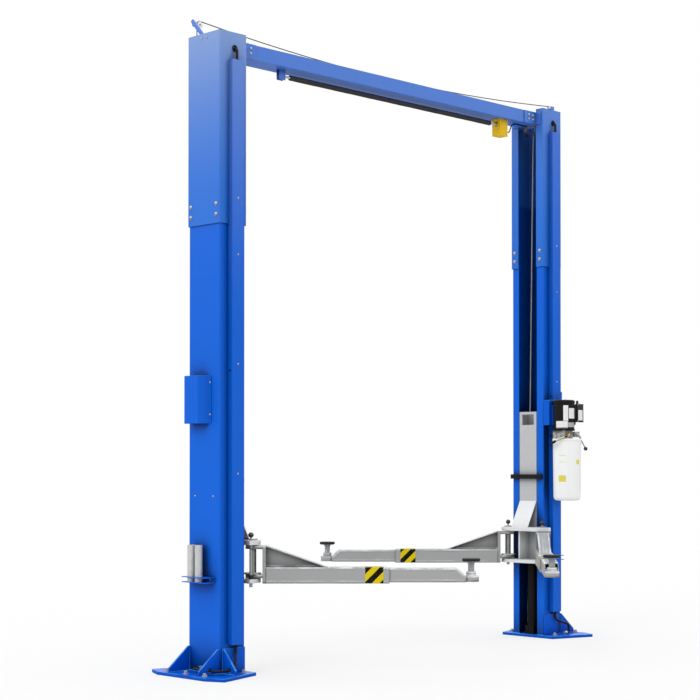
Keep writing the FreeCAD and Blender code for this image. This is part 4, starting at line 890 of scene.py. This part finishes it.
def shapeUp(shape, name, finish, body, smooth=35.0):
    bmesh.ops.recalc_face_normals(shape, faces=shape.faces)
    mesh = bpy.data.meshes.new(name)
    shape.to_mesh(mesh)
    shape.free()
    mesh.shade_smooth()
    mesh.set_sharp_from_angle(angle=math.radians(smooth))
    mesh.materials.append(finish)
    piece = bpy.data.objects.new(name, mesh)
    scene.collection.objects.link(piece)
    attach(piece, body)
    return piece


# arms: hazard bands, screws, pads, springs
arms = {
    "short": {"out": 0.184, "aside": -0.108, "heading": {"left": 315.0, "right": 315.0}, "end": 0.79,
              "lock": (0.129, -0.152)},
    "long": {"out": 0.172, "aside": 0.19, "heading": {"left": 50.0, "right": 40.5}, "end": 0.88,
             "lock": (0.119, 0.144)},
}
armTube = {"half": 0.05, "bottom": 0.519, "top": 0.613, "endPlate": 0.076, "ribEnd": 0.43, "ribHalf": 0.005}
kindsAndSides = [(kind, side) for kind in arms for side in sides]


def armFrame(kind, side):
    # x along the arm from its pivot, z up from the floor
    arm = arms[kind]
    turn = arm["heading"][side] + (180 if sides[side] > 0 else 0)
    return (Matrix.Translation(columnPoint(side, arm["out"], arm["aside"], 0.0))
            @ Matrix.Rotation(math.radians(turn), 4, "Z"))


bandSizes = {"start": 0.14, "end": 0.035, "thickness": 0.0004, "foot": 0.001,
             "phase": {"left": 0.009, "right": 0.026}}


def addBand(kind, side):
    # a thin sheet over the tube's sides and top, mapped by its distance along the arm and along the sheet
    half, top, foot = armTube["half"], armTube["top"], bandSizes["foot"]
    bottom = armTube["bottom"] + foot
    over = bandSizes["thickness"]
    height = top - bottom
    across, around = height + 2 * half, 2 * height + 2 * half
    wide = half + over
    wrap = [(-wide, bottom, 0.0), (-wide, top + over, height), (wide, top + over, across),
            (wide, bottom, around), (half, bottom, around), (half, top, across), (-half, top, height),
            (-half, bottom, 0.0)]
    start = arms[kind]["end"] - bandSizes["start"]
    reaches = (0.0, bandSizes["start"] - bandSizes["end"])
    where = armFrame(kind, side)
    shape = bmesh.new()
    made = addRings(shape, [[where @ Vector((start + reach, aside, level)) for aside, level, mapped in wrap]
                            for reach in reaches], "capped")
    chart = {corner: (reach + bandSizes["phase"][side], mapped + foot) for ring, reach in zip(made, reaches)
             for corner, (aside, level, mapped) in zip(ring, wrap)}
    band = shape.loops.layers.uv.new("band")
    for face in shape.faces:
        for loop in face.loops:
            loop[band].uv = chart[loop.vert]
    shapeUp(shape, f"hazardBand_{kind}_{side}", hazardBand, f"{kind}_arm_{side}")


def onNode(name):
    # a place in the middle of a node's foot, and the node's height
    low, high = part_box(name)
    where = Matrix.Translation(((low[0] + high[0]) / 2, (low[1] + high[1]) / 2, low[2]))
    return where, high[2] - low[2]


screwSizes = {
    "crest": 0.019,
    "root": 0.0176,
    "pitch": 0.005,
    "steps": 8,
    "corners": 40,
    "flank": 5,
    "flat": 0.75,
    "cup": 0.047,
    "tier": 0.0225,
    "tierDrop": 0.009,
    "cupThickness": 0.003,
    "soft": 0.001,
}


def addThreadedScrew(kind, side):
    name = f"{kind}_screw_{side}"
    where, height = onNode(name)
    threaded = height - screwSizes["cupThickness"] - screwSizes["tierDrop"]
    crest, root, pitch = screwSizes["crest"], screwSizes["root"], screwSizes["pitch"]
    corners = screwSizes["corners"]
    rings = [[Vector((0, 0, 0))]]
    for index in range(int(threaded / pitch * screwSizes["steps"]) + 1):
        level = index * pitch / screwSizes["steps"]
        ring = []
        for corner in range(corners):
            phase = (level / pitch - corner / corners) % 1.0
            depth = min(max(abs(phase - 0.5) * screwSizes["flank"] - screwSizes["flat"], 0.0), 1.0)
            radius = crest - (crest - root) * depth
            angle = 2 * math.pi * corner / corners
            ring.append(Vector((radius * math.cos(angle), radius * math.sin(angle), level)))
        rings.append(ring)
    tier, cup, soft = screwSizes["tier"], screwSizes["cup"], screwSizes["soft"]
    step = threaded + screwSizes["tierDrop"]
    head = [(root, threaded), (tier - soft, threaded), (tier, threaded + soft), (tier, step),
            (cup - soft, step), (cup, step + soft), (cup, height - soft), (cup - soft, height), (0, height)]
    rings += [circle(radius, level, corners) for radius, level in head]
    shape = bmesh.new()
    addRings(shape, [[where @ point for point in ring] for ring in rings])
    piece = shapeUp(shape, f"threadedScrew_{kind}_{side}", brightZinc, f"{kind}_lift_pad_{side}")
    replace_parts(piece, name)


padSizes = {"radius": 0.0525, "soft": 0.0025, "easing": 0.3, "corners": 56,
            "grooves": (0.036, 0.025, 0.014), "groove": 0.0015, "grooveFoot": 0.6, "depth": 0.0012}


def addTreadedPad(kind, side):
    name = f"{kind}_pad_{side}"
    where, height = onNode(name)
    radius, soft = padSizes["radius"], padSizes["soft"]
    ease = soft * padSizes["easing"]
    profile = [(0, 0), (radius - soft, 0), (radius - ease, ease), (radius, soft), (radius, height - soft),
               (radius - ease, height - ease), (radius - soft, height)]
    wide, deep = padSizes["groove"], padSizes["depth"]
    foot = wide * padSizes["grooveFoot"]
    for groove in padSizes["grooves"]:
        profile += [(groove + wide, height), (groove + foot, height - deep), (groove - foot, height - deep),
                    (groove - wide, height)]
    profile.append((0, height))
    shape = bmesh.new()
    addTurned(shape, profile, where, padSizes["corners"])
    piece = shapeUp(shape, f"treadedPad_{kind}_{side}", padRubber, f"{kind}_lift_pad_{side}")
    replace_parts(piece, name)


springSizes = {"radius": 0.0078, "wire": 0.0011, "wireCorners": 8, "low": 0.7145, "high": 0.7405, "turns": 6,
               "steps": 14, "keep": 0.085}


def addLockSpring(kind, side):
    out, aside = arms[kind]["lock"]
    centre = columnPoint(side, out, aside, 0.0)
    radius, low, high = springSizes["radius"], springSizes["low"], springSizes["high"]
    count = springSizes["turns"] * springSizes["steps"]
    points = []
    for index in range(count + 1):
        angle = 2 * math.pi * index / springSizes["steps"]
        level = low + (high - low) * index / count
        points.append(centre + Vector((radius * math.cos(angle), radius * math.sin(angle), level)))
    shape = bmesh.new()
    addRod(shape, points, springSizes["wire"], springSizes["wireCorners"])
    piece = shapeUp(shape, f"lockSpring_{kind}_{side}", turnedSteel, f"carriage_{side}")
    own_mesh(piece)


for kind, side in kindsAndSides:
    addBand(kind, side)
    addThreadedScrew(kind, side)
    addTreadedPad(kind, side)
    addLockSpring(kind, side)
print("arm details made")


# power unit: the tank, labels, mouldings, the hose and small fittings
tankSizes = {
    "place": (1.45, -0.285),
    "radii": (0.093, 0.097),
    "levels": (0.985, 1.381),
    "foot": ((0, 0.955), (0.068, 0.955), (0.077, 0.9563), (0.0845, 0.9605), (0.0895, 0.967), (0.0922, 0.976)),
    "corners": 96,
    "rim": ((0.094, 1.366), (0.0995, 1.3675), (0.1, 1.37), (0.1, 1.3795), (0.099, 1.381), (0.094, 1.381)),
    "rimCorners": 72,
    "seams": (45.0, 225.0),
    "seamLevels": (0.99, 1.1, 1.2, 1.3, 1.37),
    "seamHalf": 0.001,
    "seamRise": 0.0008,
}


def tankRadiusAt(level):
    low, high = tankSizes["levels"]
    foot, head = tankSizes["radii"]
    return foot + (head - foot) * (level - low) / (high - low)


def addTank():
    # the moulded tank with its softly rounded foot
    low, high = tankSizes["levels"]
    wall = [(tankRadiusAt(level), level) for level in (low, (low + high) / 2, high)]
    shape = bmesh.new()
    addTurned(shape, [*tankSizes["foot"], *wall, (0, high)], Matrix.Translation((*tankSizes["place"], 0)),
              tankSizes["corners"])
    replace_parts(shapeUp(shape, "tank", whiteMoulding, "root"), "power_tank")


# each label has its start and end in degrees round the motor or tank, then its low and high levels
motorSizes = {"place": (1.445, -0.262), "radius": 0.072}
motorLabels = [
    ("whiteLabelTop", blankLabel, 214.6, 242.0, 1.5046, 1.612),
    ("whiteLabelLow", blankLabel, 172.0, 240.0, 1.453, 1.502),
    ("whiteLabelSide", blankLabel, 246.0, 306.0, 1.52, 1.591),
    ("silverLabelLow", silverLabel, 242.0, 302.0, 1.46, 1.493),
]
tankLabels = [(180.5, 212.5, 1.0857, 1.1279), (259.5, 276.5, 1.207, 1.236)]
tankMarks = {"start": 184.0, "end": 213.5, "levels": (1.2205, 1.2655), "half": 0.0015}
labelThickness = {"motor": 0.0004, "tank": 0.0005}
boxLabel = ((1.509, -0.3384, 1.508), (1.557, -0.338, 1.58))


def motorRadiusAt(level):
    # the same all the way up
    return motorSizes["radius"]


def addLabels():
    for name, finish, *extent in motorLabels:
        shape = bmesh.new()
        addArc(shape, motorSizes["place"], motorRadiusAt, *extent, labelThickness["motor"])
        shapeUp(shape, name, finish, "root")
    start, end, half = tankMarks["start"], tankMarks["end"], tankMarks["half"]
    marks = [(start, end, level - half, level + half) for level in tankMarks["levels"]]
    shape = bmesh.new()
    for extent in tankLabels + marks:
        addArc(shape, tankSizes["place"], tankRadiusAt, *extent, labelThickness["tank"])
    shapeUp(shape, "tankLabels", yellowLabel, "root")
    shape = bmesh.new()
    addBox(shape, *boxLabel)
    shapeUp(shape, "boxLabel", blankLabel, "root")


def addTankMouldings():
    # the rim and two faint upright seams
    place, half, rise = tankSizes["place"], tankSizes["seamHalf"], tankSizes["seamRise"]
    shape = bmesh.new()
    addTurned(shape, tankSizes["rim"], Matrix.Translation((*place, 0)), tankSizes["rimCorners"],
              ends="joined")
    for angle in tankSizes["seams"]:
        way = Vector((math.cos(math.radians(angle)), math.sin(math.radians(angle)), 0))
        side = Vector((-way.y, way.x, 0)) * half
        addRings(shape, [[Vector((*place, level)) + way * (tankRadiusAt(level) + lift) + side * aside
                          for lift, aside in ((-half, -1), (rise, -1), (rise, 1), (-half, 1))]
                         for level in tankSizes["seamLevels"]], "capped")
    shapeUp(shape, "tankMouldings", whiteMoulding, "root")


# places along the line as reach to the right, depth and level
pressureLine = {
    "run": ((1.2364, 0.776, 1.4), (1.226, 0.752, 1.399), (1.203, 0.724, 1.393), (1.165, 0.722, 1.379),
            (1.135, 0.732, 1.363), (1.117, 0.752, 1.35), (1.111, 0.79, 1.344), (1.113, 0.85, 1.344),
            (1.12, 0.89, 1.348), (1.1271, 0.906, 1.35)),
    "sleeve": ((1.229, 0.757, 1.3992), (1.203, 0.724, 1.393), (1.165, 0.722, 1.379), (1.14, 0.73, 1.366)),
    "collar": ((1.135, 0.732, 1.363), (1.117, 0.752, 1.35)),
    "radius": 0.0052,
    "sleeveRadius": 0.0062,
    "collarRadius": 0.0082,
}


def acrossView(places):
    # the camera looks along the floor's diagonal
    return [((reach + depth) / math.sqrt(2), (depth - reach) / math.sqrt(2), level)
            for reach, depth, level in places]


def addPressureLine():
    # the hose from the pump's front to the cover's side, in a pale sleeve at first
    shape = bmesh.new()
    addRod(shape, smoothRun(acrossView(pressureLine["run"])), pressureLine["radius"], corners=14)
    addRod(shape, acrossView(pressureLine["collar"]), pressureLine["collarRadius"], corners=20)
    shapeUp(shape, "pressureLine", blackRubber, "root", smooth=60)
    shape = bmesh.new()
    addRod(shape, smoothRun(acrossView(pressureLine["sleeve"])), pressureLine["sleeveRadius"], corners=18)
    shapeUp(shape, "pressureLineSleeve", paleBrass, "root")


motorFittings = {
    "cap": ((0, 1.644), (0.07, 1.644), (0.068, 1.6475), (0.055, 1.65), (0.02, 1.651), (0, 1.651)),
    "ridges": (1.456, 1.612),
    "ridge": ((-0.001, -0.002), (0.0012, -0.0015), (0.0012, 0.0015), (-0.001, 0.002)),
    "lid": ((1.498, -0.338, 1.495), (1.568, -0.334, 1.622), 0.0015),
    "neck": ((1.484, -0.33, 1.5), (1.5005, -0.282, 1.617), 0.001),
    "button": ((0, 1.62), (0.0105, 1.62), (0.0105, 1.626), (0.0085, 1.628), (0.0085, 1.641), (0.007, 1.645),
               (0, 1.6465)),
    "buttonPlace": (1.535, -0.309, 0),
    "cable": ((1.52, -0.3, 1.497), (1.52, -0.3, 1.484), (1.512, -0.294, 1.474), (1.5, -0.288, 1.47)),
    "cableRadius": 0.006,
    "screw": {"Radius": 0.0045, "Height": 0.0028, "Washer Radius": 0.0052, "Washer Thickness": 0.0006,
              "Stud Radius": 0.002, "Stud Height": 0.0002},
    "capScrews": {"reach": 0.06, "level": 1.648, "angles": (0.8, 2.37, 3.94, 5.51)},
    "lidScrews": {"xs": (1.503, 1.563), "y": -0.338, "levels": (1.5, 1.617)},
}


def addMotorDetails():
    radius = motorSizes["radius"]
    centre = Matrix.Translation((*motorSizes["place"], 0))
    shape = bmesh.new()
    addTurned(shape, motorFittings["cap"], centre, corners=48)
    for level in motorFittings["ridges"]:
        ridge = [(radius + over, level + rise) for over, rise in motorFittings["ridge"]]
        addTurned(shape, ridge, centre, corners=72, ends="joined")
    addBox(shape, *motorFittings["lid"])
    addBox(shape, *motorFittings["neck"])
    addTurned(shape, motorFittings["button"], Matrix.Translation(motorFittings["buttonPlace"]), corners=28)
    addRod(shape, motorFittings["cable"], motorFittings["cableRadius"])
    shapeUp(shape, "motorFittings", blackMoulding, "root")
    ring, lid = motorFittings["capScrews"], motorFittings["lidScrews"]
    x, y = motorSizes["place"]
    reach, level = ring["reach"], ring["level"]
    spots = [(Vector((x + reach * math.cos(angle), y + reach * math.sin(angle), level)), up)
             for angle in ring["angles"]]
    spots += [(Vector((x, lid["y"], level)), front) for x in lid["xs"] for level in lid["levels"]]
    fasten("motorScrews", "root", hexHeads, spots, motorFittings["screw"], brightZinc)


# the plugs have a place and a way out of the pump's wall
pumpSizes = {
    "plugs": (((1.3895, -0.27, 1.41), (-1, 0, 0)), ((1.3895, -0.235, 1.398), (-1, 0, 0)),
              ((1.51, -0.3295, 1.412), (0, -1, 0)), ((1.47, -0.3065, 1.4), (0, -1, 0))),
    "plugHex": ((0, 0), (0.0085, 0), (0.0085, 0.006), (0, 0.006)),
    "plugEnd": ((0, 0.006), (0.005, 0.006), (0.0045, 0.0085), (0, 0.0085)),
    "pipe": ((1.524, -0.33, 1.41), (1.526, -0.344, 1.398), (1.524, -0.352, 1.386)),
    "pipeRadius": 0.0045,
    "elbowPlace": (1.427, -0.306, 1.416),
    "elbowHex": ((0, 0), (0.011, 0), (0.011, 0.009), (0, 0.009)),
    "elbowNeck": ((0, 0.009), (0.008, 0.009), (0.008, 0.018), (0.0065, 0.02), (0, 0.02)),
    "elbow": ((1.427, -0.3215, 1.419), (1.427, -0.3215, 1.406), (1.424, -0.3215, 1.396)),
    "elbowRadius": 0.0065,
    "knob": ((1.51, -0.345, 1.38), (1.519, -0.3455, 1.362), (1.526, -0.346, 1.345)),
    "knobRadius": 0.0055,
    "screw": {"Radius": 0.005, "Height": 0.005},
    "screwPlace": (1.396, -0.3, 1.436),
}


def addPumpFittings():
    shape = bmesh.new()
    for place, way in pumpSizes["plugs"]:
        addTurned(shape, pumpSizes["plugHex"], stand(place, way), corners=6)
        addTurned(shape, pumpSizes["plugEnd"], stand(place, way), corners=16)
    addRod(shape, pumpSizes["pipe"], pumpSizes["pipeRadius"])
    shapeUp(shape, "pumpFittings", dullZinc, "root")
    shape = bmesh.new()
    elbow = stand(pumpSizes["elbowPlace"], front)
    addTurned(shape, pumpSizes["elbowHex"], elbow, corners=6)
    addTurned(shape, pumpSizes["elbowNeck"], elbow, corners=20)
    addRod(shape, pumpSizes["elbow"], pumpSizes["elbowRadius"])
    shapeUp(shape, "pumpElbow", brass, "root")
    shape = bmesh.new()
    addRod(shape, pumpSizes["knob"], pumpSizes["knobRadius"])
    shapeUp(shape, "dumpKnob", blackMoulding, "root")
    fasten("pumpScrews", "root", hexHeads, [(pumpSizes["screwPlace"], up)], pumpSizes["screw"], brightZinc)


addTank()
addLabels()
addTankMouldings()
addPressureLine()
addMotorDetails()
addPumpFittings()
print("power unit details made")


# shut-off bar's foam sleeve and the switch
foamSizes = {"radius": 0.0162, "bore": 0.0073, "step": 0.02, "wave": 0.00025, "waveTurns": (23.0, 61.0),
             "secondWave": 0.6, "soft": 0.002, "easing": 0.3, "corners": 36}


def addFoam():
    # a soft tube whose wall swells and sinks a little along its run
    low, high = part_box("shutoff_foam")
    where = stand((0, (low[1] + high[1]) / 2, (low[2] + high[2]) / 2), (1, 0, 0))
    length = high[0] - low[0]
    count = int(length / foamSizes["step"])
    radius, bore, soft = foamSizes["radius"], foamSizes["bore"], foamSizes["soft"]
    ease = soft * foamSizes["easing"]
    first, second = foamSizes["waveTurns"]
    profile = [(bore, low[0]), (radius - soft, low[0]), (radius - ease, low[0] + ease)]
    for index in range(count + 1):
        along = low[0] + soft + (length - 2 * soft) * index / count
        swell = math.sin(along * first) + foamSizes["secondWave"] * math.sin(along * second + 1.0)
        profile.append((radius + foamSizes["wave"] * (swell - 1.0), along))
    profile += [(radius - ease, high[0] - ease), (radius - soft, high[0]), (bore, high[0])]
    shape = bmesh.new()
    addTurned(shape, profile, where, foamSizes["corners"], ends="joined")
    piece = shapeUp(shape, "foamSleeve", foamSkin, "shutoff_arm", smooth=60)
    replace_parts(piece, "shutoff_foam")


switchSizes = {
    "lids": (((1.034, -0.0345, 3.4605), (1.116, -0.032, 3.5755)),
             ((1.034, 0.032, 3.4605), (1.116, 0.0345, 3.5755))),
    "soft": 0.001,
    "screw": {"Radius": 0.003, "Height": 0.0018, "Washer Radius": 0.0034, "Washer Thickness": 0.0004},
    "screwXs": (1.042, 1.108),
    "screwLevels": (3.469, 3.567),
    "face": 0.0345,
    "gland": ((0, 0), (0.011, 0), (0.011, 0.012), (0.008, 0.016), (0, 0.016)),
    "glandPlace": (1.115, 0, 3.5),
    "cable": ((1.13, 0, 3.5), (1.155, 0, 3.498), (1.18, 0, 3.51), (1.19, 0, 3.54), (1.21, 0, 3.566),
              (1.25, 0, 3.572), (1.3, 0, 3.571), (1.371, 0, 3.571)),
    "cableRadius": 0.004,
}


def addSwitchDetails():
    shape = bmesh.new()
    for low, high in switchSizes["lids"]:
        addBox(shape, low, high, switchSizes["soft"])
    shapeUp(shape, "switchLids", yellowMoulding, "root")
    spots = [(Vector((x, sign * switchSizes["face"], level)), Vector((0, sign, 0)))
             for x in switchSizes["screwXs"] for level in switchSizes["screwLevels"] for sign in (-1, 1)]
    fasten("switchScrews", "root", roundHeads, spots, switchSizes["screw"], brightZinc)
    shape = bmesh.new()
    addTurned(shape, switchSizes["gland"], stand(switchSizes["glandPlace"], (1, 0, 0)), corners=24)
    addRod(shape, smoothRun(switchSizes["cable"]), switchSizes["cableRadius"])
    shapeUp(shape, "switchCable", blackRubber, "root")


addFoam()
addSwitchDetails()
print("shut-off bar details made")


# grommets, cover holes, release arms, doublers and weld beads
grommetSizes = {
    "ring": ((0.0148, 0.0), (0.019, 0.0), (0.0205, 0.0015), (0.019, 0.0035), (0.0155, 0.004), (0.0128, 0.003),
             (0.0118, 0.0015), (0.0128, -0.001), (0.0148, -0.002)),
    "ringOut": 0.01,
    "ringPlace": (-0.1425, 3.59),
    "plug": ((0, -0.0005), (0.0062, -0.0005), (0.0072, 0.0006), (0.0062, 0.0012), (0, 0.0004)),
    "plugOut": -0.033,
    "plugY": -0.1545,
    "plugLevel": {"left": 1.742, "right": 1.678},
}


def addGrommets():
    shape = bmesh.new()
    for side, sign in sides.items():
        ring = stand((sign * columnX + grommetSizes["ringOut"], *grommetSizes["ringPlace"]), front)
        addTurned(shape, grommetSizes["ring"], ring, corners=36, ends="joined")
        plugX = sign * columnX + grommetSizes["plugOut"]
        plug = stand((plugX, grommetSizes["plugY"], grommetSizes["plugLevel"][side]), (-1, 0, 0))
        addTurned(shape, grommetSizes["plug"], plug, corners=24)
    shapeUp(shape, "grommets", blackRubber, "root")


def weld(name, body, runs, finish, radius=0.003):
    points = [point for run in runs for point in run]
    edges = []
    first = 0
    for run in runs:
        edges += [(first + index, first + index + 1) for index in range(len(run) - 1)]
        first += len(run)
    piece = grow(weldBeads, points, None, {"Radius": radius}, finish, name, edges)
    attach(piece, body)


releaseArm = {
    "wall": -1.5675,
    "sheet": 0.008,
    "foot": (-0.02, 3.6345),
    "tip": (0.1125, 3.777),
    "half": 0.012,
    "nose": 0.6,
    "wheel": (-1.518, 0.104, 3.7626),
    "tab": (0.110, 0.118, 0.014),
    "tabSoft": 0.002,
    "pin": 0.005,
    "pinOver": 0.005,
    "seat": 0.001,
    "post": ((1.474, -0.1365, 3.593), (1.506, -0.1285, 3.7116)),
    "postSoft": 0.0015,
    "postPin": (1.49, 3.6956, -0.1365, -0.099),
}


def addReleaseArms():
    # a slim bar over the left sleeve and a short post on the right one, each with its wheel's pin
    foot, tip = [Vector((0, *releaseArm[end])) for end in ("foot", "tip")]
    way = (tip - foot).normalized()
    aside = Vector((0, -way.z, way.y)) * releaseArm["half"]
    nose = tip + way * releaseArm["half"] * releaseArm["nose"]
    outline = [foot - aside, tip - aside, nose - aside * 0.5, nose + aside * 0.5, tip + aside, foot + aside]
    wall, sheet, seat = releaseArm["wall"], releaseArm["sheet"], releaseArm["seat"]
    shape = bmesh.new()
    faces = [Vector((x, 0, 0)) for x in (wall, wall + sheet)]
    addRings(shape, [[point + face for point in outline] for face in faces], "capped")
    x, y, level = releaseArm["wheel"]
    near, far, half = releaseArm["tab"]
    tab = ((wall + sheet / 2, near, level - half), (x + half, far, level + half))
    addBox(shape, *tab, releaseArm["tabSoft"])
    addRod(shape, [(x, y - releaseArm["pinOver"], level), (x, near + seat, level)], releaseArm["pin"],
           corners=24)
    addBox(shape, *releaseArm["post"], releaseArm["postSoft"])
    x, level, start, end = releaseArm["postPin"]
    addRod(shape, [(x, start + seat, level), (x, end, level)], releaseArm["pin"], corners=24)
    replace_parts(shapeUp(shape, "releaseArms", beamPaintWithPaintedSheen, "root"), "release_brackets")


doubler = {"low": -0.062, "high": 0.094, "face": 0.136, "thickness": 0.005, "bottom": 0.0195, "top": 0.16,
           "soft": 0.0015}


def addDoublers():
    # plates on the columns' front faces, just over the feet
    shape = bmesh.new()
    for side in sides:
        ends = [columnPoint(side, doubler[end], 0, 0).x for end in ("low", "high")]
        addBox(shape, (min(ends), -doubler["face"] - doubler["thickness"], doubler["bottom"]),
               (max(ends), -doubler["face"], doubler["top"]), doubler["soft"])
    shapeUp(shape, "footDoublers", footPaintWithPaintedHighlights, "root")


footSizes = {"half": 0.095, "side": 0.136, "mouth": 0.08, "bend": 0.006, "floor": 0.0195, "gussetIn": 0.126,
             "gussetEnd": 0.24, "gussetTop": 0.158, "hoseGusset": (0.063, 0.073), "hoseGussetEnd": 0.244,
             "bead": 0.0035}


def addFootWelds():
    half, side, bend, floor = footSizes["half"], footSizes["side"], footSizes["bend"], footSizes["floor"]
    mouth, top, end = footSizes["mouth"], footSizes["gussetTop"], footSizes["gussetEnd"]
    runs = []
    for name in sides:
        def at(out, aside, level=floor):
            return columnPoint(name, out, aside, level)
        runs.append([at(half, -mouth), at(half, bend - side), at(half - bend, -side), at(bend - half, -side),
                     at(-half, bend - side), at(-half, side - bend), at(bend - half, side),
                     at(half - bend, side), at(half, side - bend), at(half, mouth)])
        for sign in (-1, 1):
            inner, outer = sign * footSizes["gussetIn"], sign * side
            runs.append([at(-half, inner, top), at(-half, inner)])
            runs += [[at(-half, aside), at(-end, aside)] for aside in (inner, outer)]
        for out in footSizes["hoseGusset"]:
            runs.append([at(-out, -side, top), at(-out, -side), at(-out, -footSizes["hoseGussetEnd"])])
    weld("footWelds", "root", runs, footPaintWithPaintedHighlights, footSizes["bead"])


def addArmWelds():
    half, bottom, top, plate = armTube["half"], armTube["bottom"], armTube["top"], armTube["endPlate"]
    for kind, side in kindsAndSides:
        where = armFrame(kind, side)
        runs = [[where @ Vector((plate, aside, level)) for aside, level in
                 ((-half, bottom), (-half, top), (half, top), (half, bottom))]]
        for reach in (-armTube["ribHalf"], armTube["ribHalf"]):
            runs.append([where @ Vector((along, reach, top)) for along in (plate, armTube["ribEnd"])])
        weld(f"armWelds_{kind}_{side}", f"{kind}_arm_{side}", runs, silverPaint)


addGrommets()
addReleaseArms()
addDoublers()
addFootWelds()
addArmWelds()
print("grommets, release arms, doublers and welds made")
